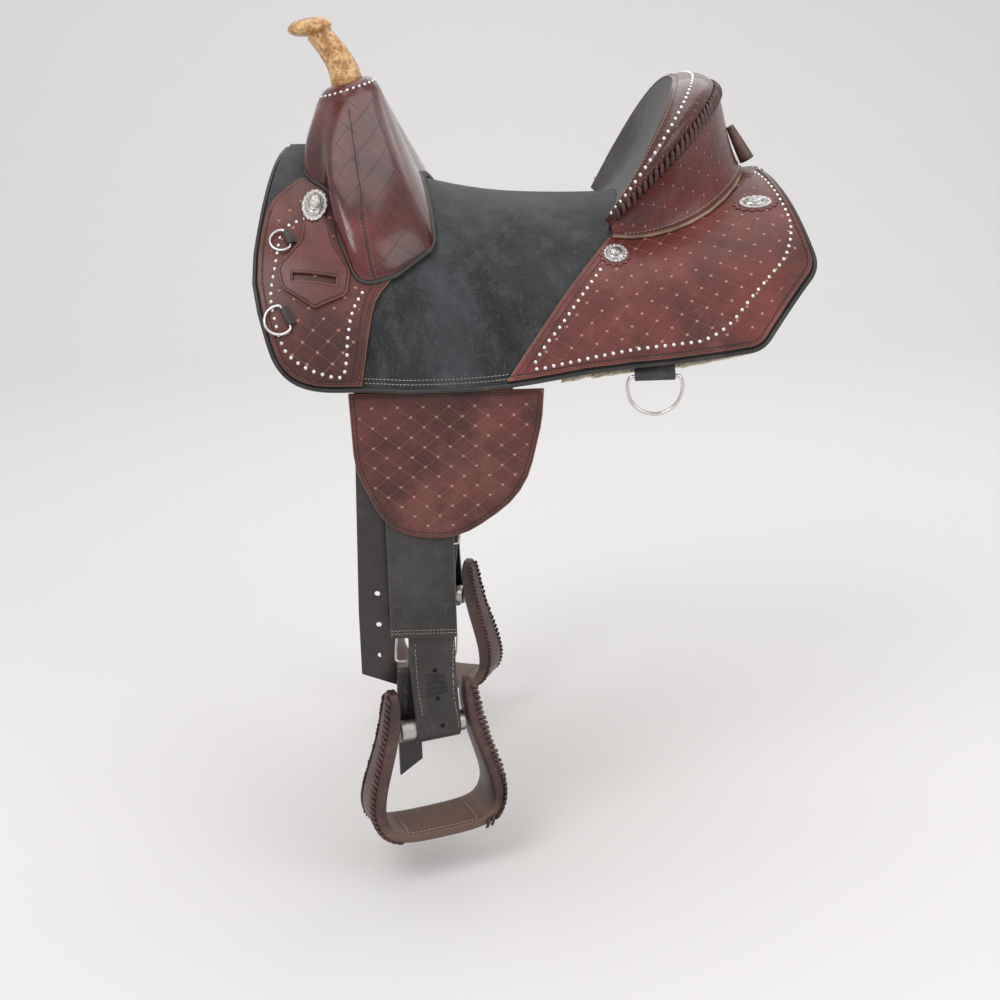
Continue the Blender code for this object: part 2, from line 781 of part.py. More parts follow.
def horn_rings(margin, top):
    """Rings up the horn's neck, leaning forwards, a margin inside its skin."""
    foot_z = COLLAR_CENTRE[1] + COLLAR_SHOULDER - SKIN_THICKNESS
    rings = []
    for level in range(6):
        t = level / 5 * top
        radius = HORN_FOOT_RADIUS + (HORN_NECK_RADIUS - HORN_FOOT_RADIUS) * math.sin(t * 1.4)
        radius -= margin
        tilt = COLLAR_TILT * (1 - t) - math.radians(30) * t
        centre = Vector((
            COLLAR_CENTRE[0] + HORN_LEAN * t ** 1.6,
            0.0,
            foot_z + FIT_GAP + HORN_RISE * t,
        ))
        ring = []
        for k in range(16):
            angle = math.tau * k / 16
            run = -radius * math.cos(angle)
            ring.append(centre + Vector((
                run * math.cos(tilt), -radius * math.sin(angle), run * math.sin(tilt)
            )))
        rings.append(ring)
    return rings


def make_horn():
    wrap = loft("horn_wrap", horn_rings(0.0, 1.0), "rawhide")
    rings = []
    for level in range(7):
        angle = math.pi * (level + 0.5) / 7
        height = HORN_CAP_HALF_HEIGHT * math.cos(angle)
        scale = math.sin(angle) ** 0.6
        ring = []
        for k in range(18):
            turn = math.tau * k / 18
            x = HORN_CAP_HALF_LENGTH * scale * math.cos(turn)
            ring.append(Vector((
                HORN_CAP_CENTRE[0] + x * math.cos(HORN_CAP_TILT) + height * math.sin(HORN_CAP_TILT),
                HORN_CAP_HALF_WIDTH * scale * math.sin(turn),
                HORN_CAP_CENTRE[1] + x * math.sin(HORN_CAP_TILT) + height * math.cos(HORN_CAP_TILT),
            )))
        rings.append(ring)
    cap = loft("horn_cap", rings, "rawhide")
    merge(wrap, [cap])
    bore = loft("horn_bore", below(horn_rings(HORN_WRAP_THICKNESS, 0.92)), "rawhide")
    merge(wrap, [bore], "DIFFERENCE")
    loft("horn_core", horn_rings(HORN_WRAP_THICKNESS + FIT_GAP, 0.91), "steel")


def below(rings):
    """The rings with one more below the first, so that a cut passes right through."""
    return [[point - Vector((0, 0, 0.002)) for point in rings[0]]] + rings


# Cantle

def rim_point(t):
    """Point of the cantle's rim: t is 0 at the near foot, 0.5 at the top and 1 at the far foot."""
    near = t <= 0.5
    u = 2 * t if near else 2 - 2 * t
    foot = drape()(*RIM_FOOT, CANTLE_LIFT + RIM_FOOT_RISE)
    start = (foot.x, -foot.y, foot.z)
    point = bezier((start, RIM_HANDLE_LOW, RIM_HANDLE_HIGH, RIM_TOP), u)
    return Vector((point.x, -point.y if near else point.y, point.z))


def foot_run(curve, margin=0.0):
    """Pattern points along a foot curve, one a section, moved into the cantle's foot."""
    run = []
    for k in range(CANTLE_SECTIONS + 1):
        t = 2 * k / CANTLE_SECTIONS
        spot = bezier([(*p, 0.0) for p in curve], min(t, 2 - t))
        run.append(Vector((spot.x, spot.y if t <= 1 else -spot.y)))
    moved = []
    for k, here in enumerate(run):
        ahead = run[min(k + 1, CANTLE_SECTIONS)] - run[max(k - 1, 0)]
        inward = Vector((ahead.y, -ahead.x)).normalized()
        if inward.dot(Vector((CANTLE_MIDDLE, 0.0)) - here) < 0:
            inward = -inward
        moved.append(here + inward * margin)
    return moved


def cantle_section(t, front, back):
    """Points of the cantle's outer skin at t: up the dish, over the crown and down the back."""
    rim = rim_point(t)
    chord = rim - front
    hollow = Vector((chord.z, 0.0, -chord.x)).normalized()
    hollow *= DISH_HOLLOW * min(1.0, chord.length / 0.12)
    dish = [
        front.lerp(rim, k / DISH_STEPS) + hollow * math.sin(math.pi * k / DISH_STEPS)
        for k in range(DISH_STEPS)
    ]
    height = rim.z - back.z
    out = Vector((back.x - front.x, back.y - front.y, 0.0))
    reach = out.normalized() * CROWN_REACH * min(height, out.length * MOST_CROWN_SHARE)
    lift = Vector((0.0, 0.0, height))
    crown = rim + reach + lift * CROWN_RISE
    shoulder = back + lift * BACK_RISE - reach * BACK_REACH
    over = [
        bezier((rim, crown, shoulder, back), k / BACK_STEPS) for k in range(BACK_STEPS + 1)
    ]
    return dish + over


def grid_normals(rows):
    """Outward direction at each point of a grid, square to the middle of the row's bend there."""
    count, width = len(rows), len(rows[0])
    middle = sum((p for row in rows for p in row), Vector()) / (count * width)
    normals = []
    for r in range(count):
        line = []
        for c in range(width):
            here = rows[r][c]
            across = rows[min(r + 1, count - 1)][c] - rows[max(r - 1, 0)][c]
            before, after = here - rows[r][max(c - 1, 0)], rows[r][min(c + 1, width - 1)] - here
            along = before.normalized() + after.normalized()
            line.append(across.cross(along).normalized())
        normals.append(line)
    centre = normals[count // 2][width // 2]
    if centre.dot(rows[count // 2][width // 2] - middle) < 0:
        normals = [[-n for n in line] for line in normals]
    return normals


def cantle_grids(depth):
    """The cantle's skin, and the same moved in by a depth with its feet kept on the body.

    The depth shrinks towards the two tips, where the cantle is low.
    """
    lay = drape()
    fronts = [lay(p.x, p.y, PATCH_GAP) for p in foot_run(DISH_FOOT)]
    backs = [lay(p.x, p.y, CANTLE_LIFT) for p in foot_run(BACK_FOOT)]
    outer = [
        cantle_section(k / CANTLE_SECTIONS, front, back)
        for k, (front, back) in enumerate(zip(fronts, backs))
    ]
    normals = grid_normals(outer)
    inner = []
    for k, (row, line) in enumerate(zip(outer, normals)):
        height = row[DISH_STEPS].z - row[-1].z
        here = depth * min(1.0, 0.2 + 0.8 * height / THIN_HEIGHT)
        front, back = foot_run(DISH_FOOT, 1.3 * here)[k], foot_run(BACK_FOOT, here)[k]
        moved = [p - n * here for p, n in zip(row, line)]
        moved[0] = lay(front.x, front.y, PATCH_GAP)
        moved[-1] = lay(back.x, back.y, CANTLE_LIFT)
        inner.append(moved)
    return outer, inner


def make_cantle():
    outer, inner = cantle_grids(CANTLE_SKIN)
    rim = DISH_STEPS
    lace = DISH_STEPS + BINDING_STEPS
    last = DISH_STEPS + BACK_STEPS
    parts = (
        ("cantle_dish", 0, rim, "suede"),
        ("cantle_binding", rim, lace, "binding_leather"),
        ("cantle_back", lace, last, "tooled_leather"),
    )
    for name, start, end, finish_name in parts:
        strips = [
            trim([row[start:end + 1] for row in grid], start > 0, end < last)
            for grid in (outer, inner)
        ]
        sheet_between(name, *strips, finish_name, wraps=False)
    make_cantle_core(outer)
    outline = foot_run(DISH_FOOT, CANTLE_BASE_FRONT)
    outline += foot_run(BACK_FOOT, -CANTLE_BASE_LIP)[::-1]
    pattern_solid(
        "cantle_base", [divided(outline)], FOOT_LIFT, FOOT_LIFT + CANTLE_BASE_THICKNESS, drape(),
        "black_leather", grid=(GRID_X, GRID_S),
    )


def trim(rows, at_start, at_end):
    """Draws the ends of each row back by half a layer gap, where another piece of the skin meets it."""
    result = []
    for row in rows:
        row = list(row)
        if at_start:
            row[0] = row[0] + (row[1] - row[0]).normalized() * LAYER_GAP / 2
        if at_end:
            row[-1] = row[-1] + (row[-2] - row[-1]).normalized() * LAYER_GAP / 2
        result.append(row)
    return result


def make_cantle_core(outer):
    """Solid inside the cantle's skin, closed below along the body."""
    _, inner = cantle_grids(CANTLE_SKIN + 2 * LAYER_GAP)
    fronts = foot_run(DISH_FOOT, CANTLE_BASE_FRONT)
    backs = foot_run(BACK_FOOT, CANTLE_SKIN + 3 * LAYER_GAP)
    lay = drape()
    rings = []
    for whole, row, front, back in zip(outer, inner, fronts, backs):
        if whole[DISH_STEPS].z - whole[-1].z < CORE_HEIGHT:
            continue
        floor = [back.lerp(front, j / 4) for j in range(5)]
        rings.append(row[1:-1] + [lay(p.x, p.y, CANTLE_LIFT + FIT_GAP) for p in floor])
    loft("cantle_core", rings, "core")


def make_roll():
    """Rolled leather tab behind the cantle, thin at the top where it is held."""
    top, foot = (Vector((p[0], 0.0, p[1])) for p in (ROLL_TOP, ROLL_FOOT))
    side = Vector((0.0, 1.0, 0.0))
    out = side.cross(foot - top).normalized()
    rings = [
        [
            top.lerp(foot, t) + radius
            * (math.cos(math.tau * j / 16) * out + math.sin(math.tau * j / 16) * side)
            for j in range(16)
        ]
        for t, radius in ((0.0, ROLL_TOP[2]), (0.6, 0.85 * ROLL_FOOT[2]), (1.0, ROLL_FOOT[2]))
    ]
    return loft("cantle_roll", rings, "binding_leather")


# Hardware on the leather

def make_conchos():
    for side, word in SIDES:
        concho(f"front_concho_{word}", FRONT_CONCHO, KEEPER_THICKNESS + LAYER_GAP, side)
        concho(f"rear_concho_{word}", REAR_CONCHO, 0.0, side)
        concho(f"oval_concho_{word}", OVAL_CONCHO, 0.0, side)


def concho(name, spec, stack, side):
    """Domed oval plate that follows the leather's slope, on a smaller leather stack if it has one."""
    x, s, half_x, half_s, crown = spec
    point, along, down, out = surface_frame(x, s, side)
    steps = [(1.0, stack), (1.0, stack + CONCHO_RIM), (0.86, stack + CONCHO_RIM)]
    steps += [(0.72, stack + 0.55 * crown), (0.40, stack + crown)]
    if stack:
        steps = [(0.82, 0.0), (0.82, stack)] + steps
    rings = [
        [
            point + out * (PANEL_TOP + SEATED_GAP + height)
            + along * half_x * scale * math.cos(math.tau * k / 20)
            + down * half_s * scale * math.sin(math.tau * k / 20)
            for k in range(20)
        ]
        for scale, height in steps
    ]
    return loft(name, rings, "nickel")


def make_keepers():
    """Slotted tabs that hang from the front conchos and lift about their top edges."""
    outline = densify(rounded(KEEPER_OUTLINE), 0.02)
    slot = box_outline(
        KEEPER_X - KEEPER_SLOT_HALF_WIDTH, KEEPER_X + KEEPER_SLOT_HALF_WIDTH, *KEEPER_SLOT
    )
    low = PANEL_TOP + PATCH_GAP
    for side, word in SIDES:
        pattern_solid(
            f"latigo_keeper_{word}", [outline], low, low + KEEPER_THICKNESS, drape(side),
            "tooled_leather", holes=[densify(slot, 0.02)], origin=keeper_hinge(side)[0],
        )


def keeper_hinge(side):
    """Point and direction of the keeper's bend line: about it, a positive turn lifts the tab."""
    point, along, _, out = surface_frame(KEEPER_X, KEEPER_TOP, side)
    return point + out * (PANEL_TOP + PATCH_GAP + KEEPER_THICKNESS / 2), along * side


def dee_path(width, reach, steps=12):
    """Path of a dee in its own plane: the straight bar along u, the bow towards +v."""
    bend = width * 0.12
    points = [Vector((-width / 2 + bend, 0.0)), Vector((width / 2 - bend, 0.0))]
    for k in range(steps + 1):
        angle = -math.pi / 8 + (math.pi + math.pi / 4) * k / steps
        points.append(Vector((
            width / 2 * math.cos(angle), reach - width / 2 + width / 2 * math.sin(angle)
        )))
    return [p for p in points if p.y > -1e-9 or abs(p.x) < width / 2]


def wire_loop(name, centres, radius, finish_name, origin=None):
    """Closed loop of round wire along points that lie in one plane."""
    count = len(centres)
    flat = (centres[1] - centres[0]).cross(centres[count // 2] - centres[0]).normalized()
    rings = []
    for k, here in enumerate(centres):
        ahead = (centres[(k + 1) % count] - here).normalized()
        behind = (here - centres[k - 1]).normalized()
        travel = (ahead + behind).normalized()
        across = travel.cross(flat)
        stretch = 1 / max(0.5, math.sqrt((1 + ahead.dot(behind)) / 2))
        rings.append([
            here + radius * (
                math.cos(math.tau * j / 8) * across * stretch + math.sin(math.tau * j / 8) * flat
            )
            for j in range(8)
        ])
    return closed_loft(name, rings, finish_name, origin)


def clip_strap(name, frame, width, wire, thickness, length, tail, finish_name):
    """Strap folded round a dee's bar, with a tail between two heights that runs off along pull."""
    centre, bar, pull, out = frame
    eye = wire + FIT_GAP + thickness
    outline = [
        Vector((eye * math.sin(a), -eye * math.cos(a)))
        for a in [math.pi * k / 8 for k in range(0, 9)]
    ]
    outline += [Vector((-0.8 * eye, 0.6 * eye)), Vector((-1.5 * eye, tail[1]))]
    outline += [Vector((-length, tail[1])), Vector((-length, tail[0]))]
    if tail[0] > -eye:
        outline += [Vector((-1.5 * eye, tail[0])), Vector((-0.8 * eye, -0.6 * eye))]
    hole = circle_outline(0.0, 0.0, wire + FIT_GAP, 10)

    def place(u, v, height):
        return centre - pull * u + out * v + bar * height
    return pattern_solid(name, [outline], -width / 2, width / 2, place, finish_name, holes=[hole])


def make_front_dees():
    for side, word in SIDES:
        for label, spec in (("upper", FRONT_DEE_UPPER), ("lower", FRONT_DEE_LOWER)):
            _, _, _, width, reach, wire = spec
            centre, bar, bow, out = dee_frame(spec, side)
            path = [centre + bar * p.x + bow * p.y for p in dee_path(width, reach)]
            wire_loop(f"front_dee_{label}_{word}", path, wire, "nickel", origin=centre)
            low = -(wire + FIT_GAP + DEE_STRAP_THICKNESS)
            clip_strap(
                f"dee_strap_{label}_{word}", (centre, bar, -bow, out), 0.62 * width, wire,
                DEE_STRAP_THICKNESS, DEE_STRAP_LENGTH, (low, low + 2 * DEE_STRAP_THICKNESS),
                "black_leather",
            )


def dee_frame(spec, side):
    """Centre of a front dee's bar, and the directions along the bar, to the bow and outwards."""
    x, s, turn, _, _, wire = spec
    point, along, down, out = surface_frame(x, s, side)
    lift = PANEL_TOP + SEATED_GAP + wire + FIT_GAP + DEE_STRAP_THICKNESS
    bow = (down * math.cos(turn) - along * math.sin(turn)).normalized()
    bar = bow.cross(out).normalized()
    return point + out * lift, bar, bow, out


def rear_dee_frame(side):
    """Centre of the rear dee's bar just under the skirt's edge, and its directions."""
    s = edge_s(REAR_DEE_X)
    slope = (edge_s(REAR_DEE_X + 0.02) - edge_s(REAR_DEE_X - 0.02)) / 0.04
    point, along, down, out = surface_frame(REAR_DEE_X, s, side)
    bar = (along + down * slope).normalized()
    eye = REAR_DEE_WIRE + FIT_GAP + WEBBING_THICKNESS
    lift = PADDING_TOP - PADDING_THICKNESS / 2
    centre = point + out * lift + down * (eye + 0.004)
    pull = bar.cross(out).normalized()
    pull = pull if pull.z > 0 else -pull
    return centre, bar, pull, out


def make_rear_dees():
    for side, word in SIDES:
        frame = rear_dee_frame(side)
        centre, bar = frame[:2]
        hang = Vector((0.0, 0.0, -1.0))
        hang = (hang - bar * hang.dot(bar)).normalized()
        path = [centre + bar * p.x + hang * p.y for p in dee_path(REAR_DEE_WIDTH, REAR_DEE_REACH)]
        wire_loop(f"rear_dee_{word}", path, REAR_DEE_WIRE, "nickel", origin=centre)
        clip_strap(
            f"rear_webbing_{word}", frame, WEBBING_WIDTH, REAR_DEE_WIRE, WEBBING_THICKNESS,
            WEBBING_LENGTH, (-WEBBING_THICKNESS, WEBBING_THICKNESS), "black_leather",
        )


# Fender, stirrup leather and stirrup

def upright(side, plane):
    """Lays a pattern (x, z) in a vertical plane; height runs outwards from the plane."""
    def place(x, z, height):
        return Vector((x, side * (plane + height), z))
    return place


def cross_pin(name, side, x, z, steps, finish_name):
    """Round pin across the saddle, from steps of (radius, distance from the middle)."""
    rings = [
        [Vector((p.x, side * reach, p.y)) for p in circle_outline(x, z, radius, 16)]
        for radius, reach in steps
    ]
    return loft(name, rings, finish_name)


def make_hangers():
    """Swivel plate with its pin, and the strap on it that carries the fender and the billet."""
    half = FENDER_THICKNESS / 2
    foot = HINGE_Z + half + FIT_GAP
    for side, word in SIDES:
        make_swivel_plate(side, word)
        outline = rounded((
            (BILLET_X - EYE_RADIUS, foot, 0.0),
            (HANGER_FOOT_REAR, foot, 0.0),
            (HANGER_FOOT_REAR, foot + 0.006, 0.003),
            (SWIVEL_X + 1.2 * EYE_RADIUS, SWIVEL_Z + EYE_RADIUS, 0.008),
            (SWIVEL_X - 1.2 * EYE_RADIUS, SWIVEL_Z + EYE_RADIUS, 0.008),
            (SWIVEL_X - 2.5 * EYE_RADIUS, STUD_Z + 0.9 * EYE_RADIUS, 0.010),
            (BILLET_X - EYE_RADIUS, STUD_Z + 0.9 * EYE_RADIUS, 0.008),
        ))
        hole = circle_outline(SWIVEL_X, SWIVEL_Z, PIN_RADIUS + FIT_GAP)
        strap = pattern_solid(
            f"hanger_strap_{word}", [outline], -half, half, upright(side, FENDER_PLANE),
            "black_leather", holes=[hole], origin=(SWIVEL_X, side * FENDER_PLANE, SWIVEL_Z),
        )
        near, far = BILLET_PLANE + BILLET_THICKNESS / 2, BILLET_PLANE - BILLET_THICKNESS / 2
        stud = cross_pin(f"stud_{word}", side, BILLET_X, STUD_Z, (
            (STUD_SPACER_RADIUS, FENDER_PLANE),
            (STUD_SPACER_RADIUS, near + FIT_GAP),
            (STUD_RADIUS, near + FIT_GAP),
            (STUD_RADIUS, far - FIT_GAP),
            (STUD_SPACER_RADIUS, far - FIT_GAP),
            (STUD_SPACER_RADIUS, far - FIT_GAP - PIN_HEAD_THICKNESS),
        ), "steel")
        merge(strap, [stud])


def make_swivel_plate(side, word):
    """Bent steel plate that is sewn to the padding above the pocket, with the swivel's pin."""
    outer = FENDER_PLANE - FENDER_THICKNESS / 2 - FIT_GAP
    profiles = []
    for k in range(5):
        x = SWIVEL_X + PLATE_WIDTH * (k / 4 - 0.5)
        point, _, down, out = surface_frame(x, POCKET_TOP, side)
        top = point + out * (FLEECE_TOP + 2 * PLATE_THICKNESS) + down * PATCH_GAP
        under = top - out * PLATE_THICKNESS
        profiles.append([
            top,
            Vector((x, side * outer, SWIVEL_Z + 1.4 * EYE_RADIUS)),
            Vector((x, side * outer, SWIVEL_Z - EYE_RADIUS)),
            Vector((x, side * (outer - PLATE_THICKNESS), SWIVEL_Z - EYE_RADIUS)),
            Vector((x, side * (outer - PLATE_THICKNESS), SWIVEL_Z + 1.35 * EYE_RADIUS)),
            under,
        ])
    plate = loft(f"swivel_plate_{word}", profiles, "steel")
    head = FENDER_PLANE + FENDER_THICKNESS / 2 + FIT_GAP
    pin = cross_pin(f"pin_{word}", side, SWIVEL_X, SWIVEL_Z, (
        (PIN_RADIUS, outer - PLATE_THICKNESS / 2),
        (PIN_RADIUS, head),
        (PIN_HEAD_RADIUS, head),
        (PIN_HEAD_RADIUS, head + PIN_HEAD_THICKNESS),
    ), "steel")
    merge(plate, [pin])


def fender_lean(z):
    """How far inwards the fender has leant at z, so that its tongue lies inside the sleeve."""
    return (SLEEVE_WALL + FIT_GAP) * (HINGE_Z - z) / (HINGE_Z - SLEEVE_TOP_Z)


def make_fenders():
    """Fender with its rolled hinge edge, and the tooled flap over it."""
    half = FENDER_THICKNESS / 2
    top = FENDER_TOP_WIDTH / 2
    foot = SLEEVE_WIDTH / 2 - SLEEVE_WALL - 5 * FIT_GAP
    outline = rounded((
        (FENDER_X - top, HINGE_Z, 0.0),
        (FENDER_X - top, HINGE_Z - 0.030, 0.010),
        (SLEEVE_X - foot, SLEEVE_TOP_Z + 0.010, 0.010),
        (SLEEVE_X - foot, FENDER_FOOT_Z, 0.004),
        (SLEEVE_X + foot, FENDER_FOOT_Z, 0.004),
        (SLEEVE_X + foot, SLEEVE_TOP_Z + 0.010, 0.010),
        (FENDER_X + top, HINGE_Z - 0.030, 0.010),
        (FENDER_X + top, HINGE_Z, 0.0),
    ))
    flap = rounded((
        (FLAP_FRONT, FLAP_TOP_Z, 0.0),
        (FLAP_FRONT + 0.003, FLAP_TOP_Z - 0.0835, 0.060),
        (FLAP_FRONT + 0.050, FLAP_BOTTOM_Z + 0.004, 0.060),
        (FENDER_X + 0.010, FLAP_BOTTOM_Z - 0.002, 0.060),
        (FLAP_REAR - 0.036, FLAP_BOTTOM_Z + 0.050, 0.080),
        (FLAP_REAR - 0.003, FLAP_TOP_Z - 0.0385, 0.060),
        (FLAP_REAR, FLAP_TOP_Z, 0.0),
    ), math.radians(12))
    for side, word in SIDES:
        place = upright(side, FENDER_PLANE)
        hinge = (FENDER_X, side * FENDER_PLANE, HINGE_Z)
        body = pattern_solid(
            f"fender_{word}", [outline], -half, half,
            lambda x, z, v: place(x, z, v - fender_lean(z)), "black_leather", origin=hinge,
        )
        edge = [
            [
                Vector((FENDER_X + x, side * FENDER_PLANE + p.x, HINGE_Z + p.y))
                for p in circle_outline(0.0, 0.0, half, 12)
            ]
            for x in (-top, top)
        ]
        merge(body, [loft(f"hinge_edge_{word}", edge, "black_leather")])
        pattern_solid(
            f"fender_flap_{word}", [flap], half + FIT_GAP, half + FIT_GAP + FLAP_THICKNESS,
            place, "tooled_leather", origin=hinge,
        )


def turned(side, twists=False):
    """Places points about the stirrup's vertical axis: across, outwards from the fender, height.

    With twists, the turn grows from none at the sleeve to the whole turn above the roller.
    """
    def place(u, v, z):
        share = 1.0
        if twists:
            share = (SLEEVE_BOTTOM_Z - z) / (SLEEVE_BOTTOM_Z - ROLLER_Z - 2.5 * ROLLER_RADIUS)
            share = min(1.0, max(0.0, share))
            share = share * share * (3 - 2 * share)
        turn = STIRRUP_TURN * share
        out = v - STIRRUP_OFFSET
        return Vector((
            STIRRUP_X + u * math.cos(turn) + out * math.sin(turn),
            side * (FENDER_PLANE + STIRRUP_OFFSET + out * math.cos(turn) - u * math.sin(turn)),
            z,
        ))
    return place


# Faces of the two plies of the stirrup leather, outwards from the fender's plane
TONGUE_BACK = -FENDER_THICKNESS / 2 - fender_lean(FENDER_FOOT_Z)
FRONT_PLY = (TONGUE_BACK - FIT_GAP - LEATHER_THICKNESS, TONGUE_BACK - FIT_GAP)
BACK_PLY = (FRONT_PLY[0] - PLY_GAP - LEATHER_THICKNESS, FRONT_PLY[0] - PLY_GAP)
LOOP_INNER = ROLLER_RADIUS + FIT_GAP
LOOP_OUTER = LOOP_INNER + LEATHER_THICKNESS


def loop_run(front, back, radius):
    """Path down one ply, round the roller and up the other: (outwards, height)."""
    centre = Vector((STIRRUP_OFFSET, ROLLER_Z))
    spread = SLEEVE_BOTTOM_Z - 0.004
    angles = []
    for face, turn in ((front, 1), (back, -1)):
        offset = Vector((face, spread)) - centre
        angles.append(math.atan2(offset.y, offset.x) - turn * math.acos(radius / offset.length))
    start, end = angles
    end -= math.tau if end > start else 0.0
    steps = 12
    arc = [
        centre + radius * Vector((math.cos(a), math.sin(a)))
        for a in [start + (end - start) * k / steps for k in range(steps + 1)]
    ]
    top = [Vector((front, LEATHER_TOP_Z)), Vector((front, spread))]
    return top, arc, [Vector((back, spread)), Vector((back, LEATHER_TOP_Z))]


def make_stirrup_leathers():
    """Sleeve, the leather loop that carries the stirrup with its tail, and the buckle frame."""
    for side, word in SIDES:
        make_leather_loop(side, word)
        make_sleeve(side, word)
        make_buckle(side, word)


def make_leather_loop(side, word):
    """U of thick leather under the roller, and the narrow tail that hangs from its inner ply."""
    place = turned(side, twists=True)
    down, round_roller, up = loop_run(FRONT_PLY[1], BACK_PLY[0], LOOP_OUTER)
    outer = densify_run(down + round_roller + up, 0.022)
    inner = densify_run(sum(loop_run(FRONT_PLY[0], BACK_PLY[1], LOOP_INNER), []), 0.022)
    low = LEATHER_OFFSET - LEATHER_WIDTH / 2
    loop = pattern_solid(
        f"stirrup_leather_{word}", [outer + inner[::-1]], low, low + LEATHER_WIDTH,
        lambda v, z, u: place(u, v, z), "black_leather",
        origin=(FENDER_X, side * FENDER_PLANE, HINGE_Z),
    )
    touch, leave = up[0], round_roller[-1]
    start = touch.lerp(leave, (TAIL_TOP_Z - touch.y) / (leave.y - touch.y))
    sunk = 0.0005
    run = [start, leave, Vector((leave.x, TAIL_BOTTOM_Z))]
    profile = [p + Vector((sunk, 0.0)) for p in run]
    profile += [p - Vector((TAIL_THICKNESS, 0.0)) for p in reversed(run)]
    left = TAIL_OFFSET - TAIL_WIDTH / 2

    def hang(v, z, u):
        slant = TAIL_SLANT * (u - left) / TAIL_WIDTH if z < TAIL_BOTTOM_Z + 1e-5 else 0.0
        return place(u, v, z + slant)
    tail = pattern_solid(
        f"tail_{word}", [densify(profile, 0.022)], left, left + TAIL_WIDTH, hang, "black_leather"
    )
    merge(loop, [tail])


def densify_run(points, step):
    """An open run of points with its long steps divided."""
    result = []
    for here, after in zip(points, points[1:]):
        pieces = max(1, math.ceil((after - here).length / step - 0.01))
        result += [here.lerp(after, k / pieces) for k in range(pieces)]
    return result + [points[-1]]


def make_sleeve(side, word):
    place = upright(side, FENDER_PLANE)
    half = SLEEVE_WIDTH / 2
    outer, inner = FENDER_THICKNESS / 2, BACK_PLY[0] - FIT_GAP - SLEEVE_WALL
    rings = []
    for z, wall, radius in (
        (SLEEVE_TOP_Z, 0.0, 0.0025),
        (SLEEVE_BOTTOM_Z, 0.0, 0.0025),
        (SLEEVE_BOTTOM_Z, SLEEVE_WALL, 0.0010),
        (SLEEVE_TOP_Z, SLEEVE_WALL, 0.0010),
    ):
        bound = rounded((
            (SLEEVE_X - half + wall, inner + wall, radius),
            (SLEEVE_X + half - wall, inner + wall, radius),
            (SLEEVE_X + half - wall, outer - wall, radius),
            (SLEEVE_X - half + wall, outer - wall, radius),
        ), math.radians(45))
        rings.append([place(p.x, z, p.y) for p in bound])
    closed_loft(f"fender_sleeve_{word}", rings, "suede")


def make_buckle(side, word):
    """Wire frame behind the stirrup leather, just under the sleeve."""
    place = turned(side, twists=True)
    wide = BUCKLE_WIDTH / 2
    top = SLEEVE_BOTTOM_Z - BUCKLE_WIRE - 2 * FIT_GAP
    _, round_roller, up = loop_run(FRONT_PLY[1], BACK_PLY[0], LOOP_OUTER)
    spread = (up[0].x - round_roller[-1].x) * BUCKLE_HEIGHT / (up[0].y - round_roller[-1].y)
    depth = BACK_PLY[0] - spread - BUCKLE_WIRE - BUCKLE_GAP
    corners = rounded((
        (BUCKLE_OFFSET - wide, top, 0.005),
        (BUCKLE_OFFSET + wide, top, 0.005),
        (BUCKLE_OFFSET + wide, top - BUCKLE_HEIGHT, 0.005),
        (BUCKLE_OFFSET - wide, top - BUCKLE_HEIGHT, 0.005),
    ), math.radians(45))
    wire_loop(f"buckle_{word}", [place(p.x, depth, p.y) for p in corners], BUCKLE_WIRE, "nickel")


def make_stirrups():
    """Stirrup, and the roller between its legs that turns in the leather loop."""
    line = [(-u, z, t, d) for u, z, t, d in reversed(STIRRUP_LEG[1:])] + list(STIRRUP_LEG)
    corners = (
        (-1, -0.7), (-0.6, -1), (0.6, -1), (1, -0.7), (1, 0.7), (0.6, 1), (-0.6, 1), (-1, 0.7)
    )
    for side, word in SIDES:
        place = turned(side)
        hinge = place(0.0, STIRRUP_OFFSET, ROLLER_Z)
        rings = []
        for k, (u, z, thick, deep) in enumerate(line):
            before, after = line[max(k - 1, 0)], line[min(k + 1, len(line) - 1)]
            travel = Vector((after[0] - before[0], after[1] - before[1])).normalized()
            rings.append([
                place(
                    u - travel.y * a * thick / 2,
                    STIRRUP_OFFSET + b * deep / 2,
                    ROLLER_Z + z + travel.x * a * thick / 2,
                )
                for a, b in corners
            ])
        loft(f"stirrup_{word}", rings, "stirrup_leather", origin=hinge)
        roller = [
            [
                place(u, STIRRUP_OFFSET + p.x, ROLLER_Z + p.y)
                for p in circle_outline(0.0, 0.0, ROLLER_RADIUS, 20)
            ]
            for u in (-ROLLER_REACH, ROLLER_REACH)
        ]
        loft(f"stirrup_roller_{word}", roller, "steel", origin=hinge)


def make_billets():
    """Long flat strap with holes, round at the top where it turns on its stud."""
    top, half = BILLET_TOP_WIDTH / 2, BILLET_WIDTH / 2
    outline = [
        Vector((BILLET_X + top * math.cos(a), STUD_Z + top * math.sin(a)))
        for a in [math.pi * k / 10 for k in range(11)]
    ]
    outline += [
        Vector((BILLET_X - half, BILLET_WIDE_Z)),
        Vector((BILLET_X - half, BILLET_BOTTOM_Z + BILLET_SLANT)),
        Vector((BILLET_X + half, BILLET_BOTTOM_Z)),
        Vector((BILLET_X + half, BILLET_WIDE_Z)),
    ]
    holes = [circle_outline(BILLET_X, STUD_Z, STUD_RADIUS + FIT_GAP, 12)]
    for k in range(3):
        low = BILLET_BOTTOM_Z + BILLET_HOLE_PITCH * (k + 1)
        holes.append(circle_outline(BILLET_X + 0.002, low, BILLET_HOLE_RADIUS, 8))
    for side, word in SIDES:
        pattern_solid(
            f"billet_{word}", [outline], -BILLET_THICKNESS / 2, BILLET_THICKNESS / 2,
            upright(side, BILLET_PLANE), "black_leather", holes=holes,
            origin=(BILLET_X, side * BILLET_PLANE, STUD_Z),
        )


